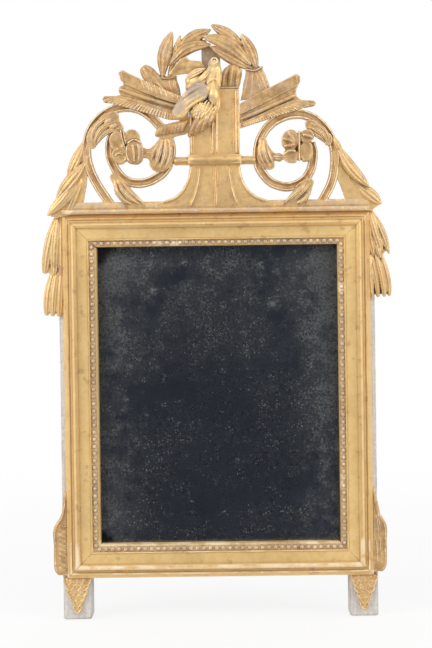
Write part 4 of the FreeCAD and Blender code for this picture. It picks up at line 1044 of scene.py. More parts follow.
class MIRROR_OT_posts(bpy.types.Operator):
    """Plane the painted posts and soften their worn feet"""

    bl_idname = "mirror.posts"
    bl_label = "Painted posts"

    def execute(self, context):
        for word, _ in SIDES:
            low, high = (Vector(corner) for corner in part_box(f"{word}_stile"))
            room = Vector((1, 1, 1)) * POST_SHY * MM
            post = sawn_block(f"painted_post_{word}", low + room, high - room)
            open_up(post)
            pick(post, lambda spot: spot.z < low.z + 2 * POST_SHY * MM)
            bpy.ops.mesh.bevel(offset=FOOT_BEVEL * MM, segments=3, affect="EDGES")
            bpy.ops.mesh.select_all(action="SELECT")
            bpy.ops.mesh.bevel(offset=POST_EDGE * MM, segments=2, affect="EDGES")
            close_up()
            skinned(post, POST_SKIN * MM, 2, ADZE, ADZE_DEPTH * MM)
            delivered(post, [f"{word}_stile"], "post_paint")
        return {"FINISHED"}


# Crest: base, quiver, band and mouth.
BASE_SECTION = (
    (-16, 0), (-16, 11.5), (-15.2, 13.2), (-13.5, 14), (-7.6, 14), (-6.6, 15.6), (-5.6, 17.4),
    (-3.6, 18), (-1.4, 17.6), (-0.3, 16.4), (0, 15), (0, 0),
)
QUIVER_OUTLINE = (
    (-33.2, 708), (33.2, 708), (33.2, 612), (34.4, 596), (38, 584), (45, 573), (56, 564.5), (68, 560.5),
    (80, 558), (80, 551), (-80, 551), (-80, 558), (-68, 560.5), (-56, 564.5), (-45, 573), (-38, 584),
    (-34.4, 596), (-33.2, 612),
)
# Raised lines on the quiver: path, width and rise above the ground of the shaft.
QUIVER_LINES = (
    (((-31, 706), (-31, 660), (-31, 622)), 4.4, 5.5),
    (((28.8, 707), (28.8, 660), (28.8, 622)), 5.4, 6.8),
    (((32.2, 706), (32.2, 660), (32.2, 622)), 2.4, 4.0),
    (((-2.4, 664), (-2.4, 640), (-2.4, 622)), 3.4, 3.6),
    (((2.6, 690), (2.5, 650), (2.4, 622)), 3.0, 2.4),
    (((0.5, 606), (1.0, 580), (1.5, 553)), 2.8, 5.6),
    (((-20, 606), (-21.5, 590), (-26, 570), (-33, 553)), 2.8, 5.6),
    (((19, 606), (20, 590), (24, 570), (29, 555)), 2.8, 5.6),
    (((-32.4, 606), (-34, 592), (-38, 582), (-45, 571.5), (-56, 563), (-70, 558.5)), 3.6, 3.2),
    (((32.4, 606), (34, 592), (38, 582), (45, 571.5), (56, 563), (70, 558.5)), 3.6, 3.2),
)
QUIVER_GROUND = 15.0
BASE_WOBBLE_SHARE = 1.6
# The band: its block, the bead round it and the link to the scroll at the right.
BAND_OUTLINE = ((-35.5, 608), (35.5, 608), (35.5, 621), (-35.5, 621))
BAND_BEAD = ((-35.5, 614.5, 12), (0, 614.5, 14), (35.5, 614.5, 12))
BAND_LINK = ((32, 613, 8), (44, 613.4, 8), (55, 613, 8))
# The mouth: its ground, petals as path and width, and the bead below them.
MOUTH_OUTLINE = (
    (-33, 709), (33, 709), (35.5, 716), (37.5, 727), (38, 733), (33, 738.5), (29, 741), (21, 741), (16, 736),
    (12, 728), (8, 720), (-20, 718), (-33, 716),
)
MOUTH_PETALS = (
    (((12, 711), (13, 724), (19, 738)), 8), (((21, 711), (22.5, 725), (25.5, 740)), 8.5),
    (((30, 711), (32, 723), (33, 736)), 8), (((-24, 709), (-20, 715), (-16, 718)), 10),
)
MOUTH_BEAD = ((6, 710, 8), (20, 709.6, 8), (34, 710, 8))


class MIRROR_OT_quiver(bpy.types.Operator):
    """Carve the base of the crest, the fluted quiver, its band and its mouth"""

    bl_idname = "mirror.quiver"
    bl_label = "Quiver and base"

    def execute(self, context):
        sizes = context.scene.mirror_carving
        base = run_of(BASE_SECTION, FRAME_WIDTH, MOULDING_STEP)
        base.location.z = FRAME_TOP
        settle(base)
        uneven(base, LONG_WOBBLE, sizes.wobble * BASE_WOBBLE_SHARE)
        base.name = "crest_base_bar"
        gilt(smoothed(base, CREASE), "crest_base", "bar_gilding")

        parts = [board(QUIVER_OUTLINE, back=0, front=QUIVER_GROUND, edge=1.2)]
        for path, width, rise in QUIVER_LINES:
            parts.append(laid("round", raised(path, QUIVER_GROUND - 1), width, rise))
        gilt(carved("fluted_quiver", parts, skin=1.25, ripple=1.7), "quiver", "broad_gilding")

        parts = [laid("round", BAND_BEAD, width=13.5, rise=11), board(BAND_OUTLINE, back=1, front=21)]
        for side in (LEFT, RIGHT):
            link = [(side * across, up, forward) for across, up, forward in BAND_LINK]
            parts.append(laid("round", link, width=11.5, rise=11.5))
        gilt(carved("quiver_band_ring", parts), "quiver_band", "broad_gilding")

        parts = [board(MOUTH_OUTLINE, back=0, front=11, edge=2)]
        parts.extend(laid("feather", raised(path, 8), width, rise=6) for path, width in MOUTH_PETALS)
        parts.append(laid("round", MOUTH_BEAD, width=4.5, rise=7))
        gilt(carved("quiver_mouth_petals", parts), "quiver_mouth", "mouth_gilding")
        dressed("crest_spine", "spine_gilding")
        return {"FINISHED"}


# Dove: folds as kind of blank, path, width and rise.
DOVE_FOLDS = (
    ("feather", ((1, 745, 23), (0, 730, 25), (-9, 716, 21)), 17, 9),
    ("feather", ((5, 739, 23), (6.5, 724, 24), (5, 709, 21)), 9.5, 9),
    ("laurel", ((-2, 739, 29), (-9, 727, 30), (-25, 715, 25)), 8, 5.5),
    ("laurel", ((-9, 733, 25), (-22, 729, 27), (-37, 721, 21)), 10, 6),
    ("round", ((-9, 714, 27), (-2, 719, 29), (3, 720, 29)), 4, 3),
    ("round", ((3, 720, 29), (6, 715, 28.4), (8, 710, 26)), 4.2, 3),
    ("tongue", ((0, 742, 20), (0, 724, 23), (-1, 700, 19)), 19, 8),
    ("laurel", ((4, 700, 19), (4, 688, 19.5), (2, 674, 17)), 11, 7),
    ("round", ((-12, 712, 25), (-32, 704, 27), (-53, 680, 22)), 6, 3.4),
    ("round", ((-11, 706, 25), (-31, 697, 27), (-51, 677, 22)), 6, 2.8),
    ("round", ((-10, 702, 25), (-30, 692, 27), (-49, 674, 22)), 6, 2.6),
    ("round", ((-10, 697, 25), (-29, 686.5, 26.5), (-46, 671, 21)), 4.6, 4),
)
FOLDED_WING = ((-9, 714), (-31, 708.5), (-50, 685), (-56, 677), (-44, 668.5), (-29, 683), (-9, 696))
DOVE_MASSES = (
    ((1, 740, 27), (7.4, 8.4, 9), 0),
    ((1.5, 742.5, 34.8), (1.7, 1.7, 1.7), 0),
    ((-18, 720, 18), (19.5, 12, 11), 18),
    ((-31, 719, 17), (7, 9, 9), 0),
    ((-29, 710, 17), (9, 7, 9.5), 0),
    ((-0.5, 698, 19.5), (8.6, 14.5, 9), 0),
    ((-14, 677.5, 19), (17, 14.2, 11.5), 8),
)
EYE_RING = ((1.5, 742.5, 35.2), 3.7, 1.1)
# The thigh: across, up and its three half sizes. Strokes lie over it in a staggered grid from its upper left
# corner, and chance moves each of them a little across and up.
THIGH = (-14, 677.5, 17, 14.2, 11.5)
THIGH_STROKE = ("feather", ((0, 0, 0), (-1.6, -2.4, 0.8), (-3, -5, 0)), 2.8, 2)
STROKE_ROWS = 7
STROKE_COLUMNS = 9
STROKE_PITCH = 4.2
STROKE_CORNER = (-16.8, 13.2)
STROKE_STRAY = (1.1, 1.3)
STROKE_ROOT = (2, 2.8, 17.6)
STROKE_REACH = 0.92
DOVE_TAIL = (
    (((-19, 675, 16), (-26, 660, 20), (-34, 645, 15)), 9.5, 8),
    (((-12, 674, 16), (-19, 661, 20.5), (-26.5, 648, 15)), 9, 8.5),
    (((-6, 672, 16), (-12, 661.5, 20.5), (-18, 652.5, 15)), 8.5, 8.5),
    (((-1, 671, 16), (-5, 664.5, 19.5), (-9.5, 658, 15)), 7.5, 8),
)
RAISED_WING_OUTLINE = (
    (-11, 735), (-16, 745), (-30, 744.5), (-36, 752), (-45, 748), (-60, 729), (-58, 727), (-46, 731),
    (-40, 729), (-30, 728), (-14, 727),
)
RAISED_WING = (
    (((-13, 730.5, 15), (-34, 733, 15.4), (-58, 728.5, 14)), 9, 2.6),
    (((-13, 737, 15), (-32, 740, 15.6), (-52, 736, 14.5)), 10, 2.8),
    (((-15, 742, 15), (-30, 743, 15.4), (-44, 746, 14.5)), 7, 2.4),
)
SIDE_FEATHER_OUTLINE = (
    (-33, 671), (-40, 670), (-51, 664.5), (-62, 662), (-74, 661), (-76.5, 653), (-73, 644), (-62, 642),
    (-50, 646), (-34, 652),
)
# Barbs of the side feathers: their roots and tips, each from the first to the last.
SIDE_BARBS = 8
SIDE_BARB_ROOTS = ((-44, 651), (-77, 646))
SIDE_BARB_TIPS = ((-35, 668), (-67, 661))


class MIRROR_OT_dove(bpy.types.Operator):
    """Carve the dove with its wings, tail and side feathers"""

    bl_idname = "mirror.dove"
    bl_label = "Dove"

    def execute(self, context):
        parts = [ball(*mass) for mass in DOVE_MASSES]
        parts.append(ring(*EYE_RING))
        parts.append(board(FOLDED_WING, back=14, front=28, edge=3.4, smooth=True))
        parts.extend(laid(*fold) for fold in DOVE_FOLDS)
        stroke = laid(*THIGH_STROKE)
        middle, high, half_width, half_height, deep = THIGH
        stray_across, stray_up = STROKE_STRAY
        chance = random.Random(7)
        for row in range(STROKE_ROWS):
            for column in range(STROKE_COLUMNS):
                across = STROKE_CORNER[0] + (column + row % 2 / 2) * STROKE_PITCH
                across += chance.uniform(-stray_across, stray_across)
                up = STROKE_CORNER[1] - row * STROKE_PITCH + chance.uniform(-stray_up, stray_up)
                inside = (across / half_width) ** 2 + (up / half_height) ** 2
                if inside > STROKE_REACH:
                    continue
                twin = copy_of(stroke)
                top = Vector((middle + across, high + up, deep * math.sqrt(1 - inside)))
                twin.location = metres(top + Vector(STROKE_ROOT))
                parts.append(settle(twin))
        cleared(stroke)
        gilt(carved("carved_dove", parts, skin=0.8, ripple=0.7), "dove", "dove_gilding")

        tail = carved("dove_tail_fan", rows_of("feather", DOVE_TAIL), skin=0.8)
        gilt(tail, "dove_tail", "crest_gilding")

        parts = rows_of("feather", RAISED_WING)
        parts.append(board(RAISED_WING_OUTLINE, back=12, front=17.4, edge=1.8))
        gilt(carved("dove_wing_raised", parts), "dove_raised_wing", "crest_gilding")

        parts = [board(SIDE_FEATHER_OUTLINE, back=12, front=17, smooth=True)]
        for index in range(SIDE_BARBS):
            share = index / (SIDE_BARBS - 1)
            low = between(*SIDE_BARB_ROOTS, share)
            high = between(*SIDE_BARB_TIPS, share)
            middle = between(low, high, 0.5)
            path = ((*low, 14.5), (middle[0] - 1, middle[1] + 1, 16.5), (*high, 14.5))
            parts.append(laid("feather", path, width=6.6, rise=4.4))
        feathers = carved("dove_feathers_side", parts, skin=0.8)
        gilt(feathers, "dove_side_feathers", "crest_gilding")
        return {"FINISHED"}


# Wreath leaves: path in the plane, width, kind of blank and lift.
LEFT_WREATH = (
    (((-61, 699), (-79, 721), (-95, 741)), 21, "tongue", 0),
    (((-68, 726), (-65.5, 755), (-55, 787)), 19, "laurel", 3),
    (((-56, 734), (-50.5, 759), (-43.5, 783)), 9.5, "laurel", 0),
    (((-51, 750), (-28, 777), (-3, 789)), 19, "laurel", 0),
    (((-60, 742), (-33, 764.5), (-3, 769)), 17.5, "laurel", 3),
)
LEFT_WREATH_STEM = ((-45, 691), (-58, 722), (-52, 748), (-33, 767), (-9, 774))
LEFT_WREATH_TIE = ((-71, 725), (-60, 724), (-49, 727))
LEFT_WREATH_END = ((-70, 727), (-50, 728), (-46, 706), (-43, 693), (-66, 698), (-77, 712))
LEFT_WREATH_FOLDS = (
    ((-53, 727), (-50, 713), (-45, 698)),
    ((-58, 727), (-58, 714), (-55, 700)),
    ((-65, 726), (-68, 716), (-68, 704)),
)
RIGHT_WREATH = (
    (((73, 697), (66, 718), (58.5, 738)), 12, "tongue", 0),
    (((58, 734), (49.5, 758), (37.5, 782)), 16.5, "laurel", 1.5),
    (((42, 758), (22, 779), (-3, 795)), 16.5, "laurel", 0),
    (((50, 740), (18, 768.5), (-14, 779)), 20, "laurel", 3.5),
    (((52, 734), (22, 751), (-4, 766)), 17, "laurel", 0.5),
)
RIGHT_WREATH_STEM = ((61, 695), (58, 731), (44, 750), (25, 767), (2, 774))
RIGHT_WREATH_TIE = ((42, 734), (55, 732.5), (66, 738))
RIGHT_WREATH_END = ((43, 734), (61, 736), (66, 712), (72, 697), (35, 693), (40, 712))
RIGHT_WREATH_FOLDS = (
    ((47, 733), (43, 714), (39, 698)),
    ((52, 733), (51, 714), (50, 698)),
    ((57, 734), (60, 716), (64, 700)),
)
LEAF_ARCH = 1.5
# Branches: leaves, stem, tie, the spread end below the tie with its folds, and the forward of the back.
BRANCHES = (
    ("left", LEFT_WREATH, LEFT_WREATH_STEM, LEFT_WREATH_TIE, LEFT_WREATH_END, LEFT_WREATH_FOLDS, 0),
    ("right", RIGHT_WREATH, RIGHT_WREATH_STEM, RIGHT_WREATH_TIE, RIGHT_WREATH_END, RIGHT_WREATH_FOLDS, 5),
)


class MIRROR_OT_wreaths(bpy.types.Operator):
    """Carve the two laurel branches of the wreath"""

    bl_idname = "mirror.wreaths"
    bl_label = "Laurel wreath"

    def execute(self, context):
        for word, leaves, stem, tie, end, folds, back in BRANCHES:
            parts = [
                laid("round", raised(stem, back), width=7, rise=5),
                laid("round", raised(tie, back + 1), width=3.2, rise=8),
                board(end, back, back + 5, edge=1.2),
            ]
            parts.extend(laid("laurel", raised(fold, back + 3), width=8, rise=3.4) for fold in folds)
            for (root, middle, tip), width, kind, lift in leaves:
                low = back + lift
                spots = ((*root, low), (*middle, low + LEAF_ARCH), (*tip, low))
                parts.append(laid(kind, spots, width, rise=6.5))
            gilt(carved(f"laurel_branch_{word}", parts), f"{word}_wreath", "laurel_gilding")
        return {"FINISHED"}


# Arrows: the outline of the whole end, the shaft, the two vanes as outlines with their shaft side first,
# and which of the strokes are cut on each vane.
ARROWS = {
    "left": {
        "outline": (
            (-127, 732), (-121, 735), (-95, 722), (-60, 706), (-34, 694), (-34, 667), (-60, 668),
            (-100, 681), (-130, 690), (-146, 692), (-149, 697), (-146, 701), (-123, 701), (-127, 706),
            (-126, 713), (-118, 716), (-124, 722)),
        "shaft": ((-34, 680), (-80, 694), (-126, 710)),
        "upper": (
            ((-34, 685), (-60, 692), (-92, 704), (-121, 717)),
            ((-34, 695), (-60, 706), (-95, 722), (-124, 735))),
        "lower": (
            ((-34, 675), (-62, 682), (-94, 693), (-126, 702)),
            ((-34, 667), (-60, 668), (-100, 680), (-148, 694))),
        "barbed": {"upper": (0, 20), "lower": (4, 30)},
    },
    "right": {
        "outline": (
            (110, 727), (115, 724), (115, 717), (110, 707), (109, 701), (111, 696), (116, 692), (133, 691),
            (136, 687), (132, 683), (112, 680), (100, 676), (60, 664), (34, 656), (34, 688),
            (60, 702), (82, 713)),
        "shaft": ((34, 667), (72, 683), (109, 699)),
        "upper": (
            ((34, 673), (60, 685), (86, 698), (112, 711)),
            ((34, 688), (60, 702), (84, 714), (110, 726))),
        "lower": (
            ((34, 662), (60, 673), (84, 684), (108, 693)),
            ((34, 655), (60, 663), (98, 675), (136, 686))),
        "barbed": {"upper": (0, 0), "lower": (1, 27)},
    },
}
# Barbs of a whole vane, where one starts between shaft and rim, how far it slants, its ground and its rise.
BARBS = 30
BARB_SHARE = 0.35
BARB_SLANT = 1.5
BARB_GROUND = 16.3
BARB_RISE = (1.3, 2.1)


class MIRROR_OT_arrows(bpy.types.Operator):
    """Carve the feathered ends of the two arrows"""

    bl_idname = "mirror.arrows"
    bl_label = "Arrows"

    def execute(self, context):
        chance = random.Random(3)
        for word, lines in ARROWS.items():
            parts = [
                board(lines["outline"], back=12, front=15, edge=1),
                laid("round", raised(lines["shaft"], 13), width=7, rise=5.4),
            ]
            for vane in ("upper", "lower"):
                inner, outer = lines[vane]
                parts.append(board((*inner, *reversed(outer)), back=13, front=17, edge=1))
                for index in range(*lines["barbed"][vane]):
                    root = along(inner, (index + BARB_SHARE) / BARBS)
                    tip = along(outer, min(1, (index + BARB_SLANT) / BARBS))
                    start = between(root, tip, BARB_SHARE)
                    path = [(*between(start, tip, share), BARB_GROUND) for share in (0, 0.5, 1)]
                    parts.append(laid("feather", path, width=3, rise=chance.uniform(*BARB_RISE)))
            arrow = carved(f"feathered_arrow_{word}", parts, skin=0.85, ripple=0.7)
            gilt(arrow, f"{word}_arrow", "crest_gilding")
        return {"FINISHED"}


LEFT_SCROLL = (
    (-138, 554), (-146, 566), (-158, 585), (-167, 605), (-171, 625), (-169, 645), (-160, 664), (-145, 678),
    (-125, 686), (-105, 685), (-88, 676), (-74, 662), (-64, 650), (-59, 637), (-58, 625), (-61, 612),
    (-68, 600), (-78, 592), (-92, 586), (-105, 585), (-117, 588), (-127, 596), (-134, 607), (-139, 620),
    (-140, 634), (-137.5, 645), (-133, 652), (-127, 658),
)
RIGHT_SCROLL = (
    (140, 554), (147, 566), (155, 582), (159, 600), (160, 617), (157, 635), (150, 650), (140, 662),
    (126, 671), (108, 674), (90, 670), (75, 661), (65, 649), (59, 635), (57, 620), (58, 607), (64, 595),
    (73, 585), (84, 579.5), (96, 577.5), (108, 580), (118, 586), (126, 596), (130, 609), (131, 623),
    (128, 636),
)


class MIRROR_OT_scrolls(bpy.types.Operator):
    """Carve the two spiral stems"""

    bl_idname = "mirror.scrolls"
    bl_label = "Scrolls"

    def execute(self, context):
        for word, path in (("left", LEFT_SCROLL), ("right", RIGHT_SCROLL)):
            stem = laid("band", raised(path, 0), width=12.6, rise=14.5)
            gilt(carved(f"spiral_stem_{word}", [stem], ripple=1.2), f"{word}_scroll", "crest_gilding")
        return {"FINISHED"}


# Flowers: petals as outlines with their front, raised lines as path, width and rise, and the outline.
FLOWERS = {
    "left": (
        ((((-136, 651), (-128, 654), (-122.5, 647), (-120, 634), (-124, 627), (-133, 628), (-138.5, 637),
           (-139, 645)), 21),
         (((-135, 627), (-126, 632), (-117.5, 628), (-115.5, 619), (-121, 611), (-129, 610.5),
           (-135, 617)), 22),
         (((-109.5, 656), (-101.5, 652), (-99, 645), (-102, 637), (-110, 635), (-118, 638), (-120, 646),
           (-117, 653)), 20),
         (((-113, 639), (-100, 641), (-95.5, 632), (-94.5, 620), (-99, 611), (-108, 609.5), (-116, 613),
           (-118, 624), (-117, 633)), 23)),
        ((((-124.5, 655, 17), (-122.5, 643, 18), (-118.5, 630, 17)), 3, 5),
         (((-121, 655, 16), (-119.5, 644, 17), (-117, 635, 16)), 2.6, 5),
         (((-115.5, 637, 20), (-107, 641.5, 21), (-98, 638, 20)), 3.2, 4.4),
         (((-116, 634, 20), (-117, 624, 20.5), (-114, 613, 20)), 2.8, 4.4),
         (((-109, 636, 21), (-107.5, 624, 21.6), (-107, 612, 21)), 5, 3.2),
         (((-102, 637, 21), (-100, 625, 21.6), (-101, 613, 21)), 5, 3.2),
         (((-132, 621, 19), (-127, 624, 20), (-121, 622, 19)), 3, 4.4)),
        ((-137, 651), (-128, 655), (-118, 652), (-108, 656), (-99, 648), (-95, 634), (-95, 618), (-101, 610),
         (-115, 612), (-127, 610), (-136, 617), (-139, 640)),
    ),
    "right": (
        ((((107.5, 650), (99, 652), (92, 647), (89, 638), (91, 630), (97, 626.5), (107.5, 627)), 22),
         (((108, 625), (98, 627), (90.5, 620), (93, 612), (101, 608.5), (108.5, 610)), 22),
         (((116, 650), (123, 652), (130.5, 648), (130.5, 639), (123, 635.5), (116, 636)), 21),
         (((116, 635), (126, 636), (129.5, 626), (127.5, 614), (122, 610), (116, 611)), 20)),
        ((((112.2, 651, 17), (112.2, 632, 18), (112.2, 610, 17)), 4, 6.5),
         (((107, 635, 19), (102, 643, 20.8), (98, 651, 18)), 6.5, 3.6),
         (((107, 634, 19), (98, 638.5, 20.8), (90, 641, 18)), 6.5, 3.6),
         (((107, 632, 19), (98, 631, 20.8), (92, 630, 18)), 6, 3.6),
         (((108, 623, 19), (99, 624, 20.8), (92, 619, 18)), 5, 3.6),
         (((118, 645, 18), (124, 644, 20.5), (129, 642, 18)), 6, 4.5)),
        ((90, 645), (99, 652), (112, 649), (123, 652), (131, 646), (131, 632), (127, 613), (118, 610),
         (110, 612), (100, 608), (91, 615), (92, 628)),
    ),
}
# How far the rim of a petal and the ground of a flower are drawn in to the middle.
PETAL_RIM_SHARE = 0.16
FLOWER_GROUND_SHARE = 0.12


class MIRROR_OT_flowers(bpy.types.Operator):
    """Carve the two round flowers inside the scrolls"""

    bl_idname = "mirror.flowers"
    bl_label = "Flowers"

    def execute(self, context):
        for word, (petals, lines, outline) in FLOWERS.items():
            middle = between(outline[0], outline[len(outline) // 2], 0.5)
            parts = [board(petal, 8, front - 0.9, edge=2, smooth=True) for petal, front in petals]
            for petal, front in petals:
                heart = [sum(place) / len(petal) for place in zip(*petal)]
                rim = [between(spot, heart, PETAL_RIM_SHARE) for spot in (*petal, *petal[:2])]
                parts.append(laid("round", raised(rim, front - 2), width=4, rise=1.7))
            parts.extend(rows_of("round", lines))
            ground = [between(spot, middle, FLOWER_GROUND_SHARE) for spot in outline]
            parts.append(board(ground, back=6, front=18, edge=2, smooth=True))
            gilt(carved(f"round_flower_{word}", parts), f"{word}_flower", "crest_gilding")
        return {"FINISHED"}


# Leaves on the scrolls: the outline, then flutes as path, width and full rise.
SCROLL_LEAVES = {
    "left_calyx": (
        ((-57, 646), (-55, 628), (-56, 612), (-64, 602), (-78, 599.5), (-86, 606), (-88, 616), (-96, 619),
         (-96, 631), (-88, 630), (-78, 638), (-68, 648)),
        ((((-62, 646, 13), (-59, 624, 15), (-66, 603, 13)), 8, 6.5),
         (((-65, 645, 13), (-66, 624, 16), (-73, 602, 13)), 7.5, 7.5),
         (((-69, 643, 13), (-74, 624, 16), (-80, 604, 13)), 8, 7),
         (((-73, 638, 13), (-81, 626, 15), (-85, 611, 13)), 7, 6),
         (((-80, 627, 12), (-88, 625, 13), (-96, 625, 12)), 9, 7)),
    ),
    "right_calyx": (
        ((63, 644), (57, 628), (57, 612), (65, 603), (73, 600), (80, 605), (79, 611), (88, 611), (88, 621),
         (80, 622), (73, 630)),
        ((((62, 642, 13), (60, 622, 15), (67, 604, 13)), 7, 6.5),
         (((65, 640, 13), (66, 622, 16), (73, 603, 13)), 7, 7.5),
         (((69, 634, 13), (72, 620, 15), (78, 607, 13)), 6.5, 6.5),
         (((74, 617, 12), (84, 616.5, 13), (97, 616.5, 12)), 9, 9)),
    ),
    "left_sheath": (
        ((-170, 640), (-167, 656), (-156, 669), (-141, 679), (-129, 679), (-126, 668), (-121, 657),
         (-130, 653), (-143, 651), (-154, 643), (-162, 631)),
        ((((-165, 637, 12), (-158, 660, 15), (-134, 677, 12)), 8, 7),
         (((-161, 636, 12), (-151, 656, 16), (-127, 669, 12)), 8.5, 7.5),
         (((-158, 636, 12), (-146, 651, 15), (-122, 659, 12)), 8, 7),
         (((-146, 662, 13), (-141, 668, 17), (-136, 671, 13)), 7, 6),
         (((-140, 656, 13), (-134, 661, 17), (-128, 663, 13)), 6.5, 6)),
    ),
    "right_sheath": (
        ((122, 664), (121, 657), (127, 650), (134, 643), (142, 641), (150, 631), (157, 637), (149, 652),
         (138, 662)),
        ((((153, 636, 12), (146, 651, 15), (124, 663, 12)), 7, 7),
         (((150, 635, 12), (141, 648, 16), (122, 657, 12)), 7.5, 7.5),
         (((147, 635, 12), (138, 644, 15), (126, 651, 12)), 7, 6.5)),
    ),
    "left_base_leaf": (
        ((-138, 598), (-134, 580), (-127, 564), (-119, 552), (-90, 552), (-104, 564), (-113, 579),
         (-124, 592)),
        ((((-135, 594, 12), (-127, 568, 15), (-106, 553, 12)), 7.5, 7),
         (((-131, 593, 12), (-119, 570, 16), (-98, 554, 12)), 7.5, 7.5),
         (((-126, 591, 12), (-112, 572, 15), (-92, 554, 12)), 7, 7)),
    ),
    "right_base_leaf": (
        ((88, 552), (98, 562), (106, 576), (114, 584), (130, 586), (129, 576), (124, 565), (122, 552)),
        ((((129, 584, 12), (115, 570, 15), (98, 554, 12)), 7.5, 7),
         (((122, 584, 12), (109, 571, 16), (91, 554, 12)), 7.5, 7.5),
         (((128, 574, 12), (119, 561, 15), (106, 553, 12)), 7, 7)),
    ),
}
# How much of that rise is carved.
FLUTE_SHARE = 0.72


class MIRROR_OT_scroll_leaves(bpy.types.Operator):
    """Carve the fluted leaves on the scrolls"""

    bl_idname = "mirror.scroll_leaves"
    bl_label = "Leaves on the scrolls"

    def execute(self, context):
        for node, (outline, flutes) in SCROLL_LEAVES.items():
            parts = [board(outline, back=10, front=16, smooth=True)]
            parts.extend(laid("laurel", path, width, rise * FLUTE_SHARE) for path, width, rise in flutes)
            side, kind = node.split("_", 1)
            gilt(carved(f"fluted_{kind}_{side}", parts), node, "crest_gilding")
        return {"FINISHED"}


# Garlands and drops: leaves as kind of blank, path, width and rise, then their ground as outlines.
LEFT_GARLAND = (
    ("laurel", ((-175, 640, 9), (-185, 616, 12), (-197, 594, 10)), 14, 7),
    ("laurel", ((-173, 613, 10), (-190, 591, 14), (-212, 565, 12)), 18, 8),
    ("husk", ((-180, 598, 9), (-199, 569, 13), (-224, 543, 12)), 19, 7.5),
    ("tongue", ((-179, 594, 9), (-188, 569, 11), (-198, 547, 9)), 13, 6.5),
    ("tongue", ((-192, 574, 9), (-202, 559, 10), (-212, 546, 9)), 14, 6.5),
)
LEFT_GARLAND_GROUND = (
    ((-168, 622), (-177, 625), (-184, 600), (-200, 575), (-219, 546), (-220, 542), (-206, 541), (-181, 546),
     (-175, 564), (-171.5, 582), (-170, 600)),
)
RIGHT_GARLAND = (
    ("laurel", ((158, 643, 10), (163, 632, 12), (169, 620, 10)), 9, 6),
    ("laurel", ((164, 630, 10), (181, 600, 15), (205, 575, 15)), 17, 8),
    ("laurel", ((190, 579, 7), (205, 566, 11), (221, 552, 12)), 18, 7.5),
    ("laurel", ((172, 612, 9), (178, 590, 10), (188, 560, 9)), 9, 4),
)
RIGHT_GARLAND_GROUND = (
    ((155, 622), (165, 627), (183, 601), (197, 581), (204, 566), (217, 551), (207, 543), (176, 548),
     (172, 562), (167, 577), (161, 592)),
)


def leaf_chain(node, leaves, ground, back, front):
    """Carve a chain of leaves on its flat ground."""
    side, kind = node.split("_")
    parts = [laid(*leaf) for leaf in leaves]
    parts.extend(board(outline, back, front) for outline in ground)
    return gilt(carved(f"leaf_{kind}_{side}", parts), node, "broad_gilding")


class MIRROR_OT_garlands(bpy.types.Operator):
    """Carve the leaf chains from the scrolls down to the corners"""

    bl_idname = "mirror.garlands"
    bl_label = "Garlands"

    def execute(self, context):
        leaf_chain("left_garland", LEFT_GARLAND, LEFT_GARLAND_GROUND, back=5, front=13)
        leaf_chain("right_garland", RIGHT_GARLAND, RIGHT_GARLAND_GROUND, back=5, front=13)
        return {"FINISHED"}


LEFT_DROP = (
    ("tongue", ((-213, 541, 1), (-223.4, 504, 4), (-230, 466, 2)), 13, 6),
    ("tongue", ((-211, 541, 2), (-215, 502, 5), (-217.4, 463.5, 3)), 12, 6),
    ("tongue", ((-207, 541, 1), (-207.2, 502, 4), (-207.6, 463, 2)), 11, 6),
    ("tongue", ((-219, 468, 0), (-225.6, 438, 3.4), (-228, 410, 2)), 11, 6),
    ("tongue", ((-214, 468, 1), (-218, 438, 4.4), (-220, 409, 3)), 11, 6),
    ("tongue", ((-208, 468, 0), (-210, 438, 4), (-211.6, 408.5, 2)), 11, 6),
)
LEFT_DROP_GROUND = (
    ((-204, 542), (-214, 541), (-223, 515), (-231, 482), (-231, 469), (-222, 466), (-204, 465)),
    ((-204, 467.5), (-222, 467.5), (-227.6, 440), (-230, 414), (-204, 413)),
)
RIGHT_DROP = (
    ("laurel", ((207, 546, 1), (219.6, 518, 3.4), (231.5, 486, 2)), 12.5, 9),
    ("tongue", ((206, 543, 3), (212.4, 517, 5), (221, 490, 3)), 11, 8.5),
    ("tongue", ((205, 541, 1), (206, 512, 3), (211, 484, 2)), 11.5, 8.5),
    ("laurel", ((214, 503, 2), (216.4, 491, 4.6), (219.4, 480, 4)), 8, 7.5),
    ("tongue", ((220, 487, 0), (228, 455, 3), (231, 430, 2)), 8.5, 8.5),
    ("tongue", ((213, 487, 2), (220.4, 457, 5), (224.2, 429, 4)), 8.5, 8.5),
    ("tongue", ((207, 487, 0), (212.4, 456, 3), (216, 428.5, 2)), 8.5, 8.5),
    ("tongue", ((204.5, 487, 2), (205.4, 454, 4), (207.6, 427, 3)), 8, 8),
)
RIGHT_DROP_GROUND = (
    ((203, 546), (208, 546), (220, 520), (229, 494), (222, 484), (229, 460), (232, 433), (203, 432)),
)


class MIRROR_OT_drops(bpy.types.Operator):
    """Carve the hanging leaves below the upper corners"""

    bl_idname = "mirror.drops"
    bl_label = "Leaf drops"

    def execute(self, context):
        leaf_chain("left_drop", LEFT_DROP, LEFT_DROP_GROUND, back=0, front=5)
        leaf_chain("right_drop", RIGHT_DROP, RIGHT_DROP_GROUND, back=0, front=5)
        return {"FINISHED"}


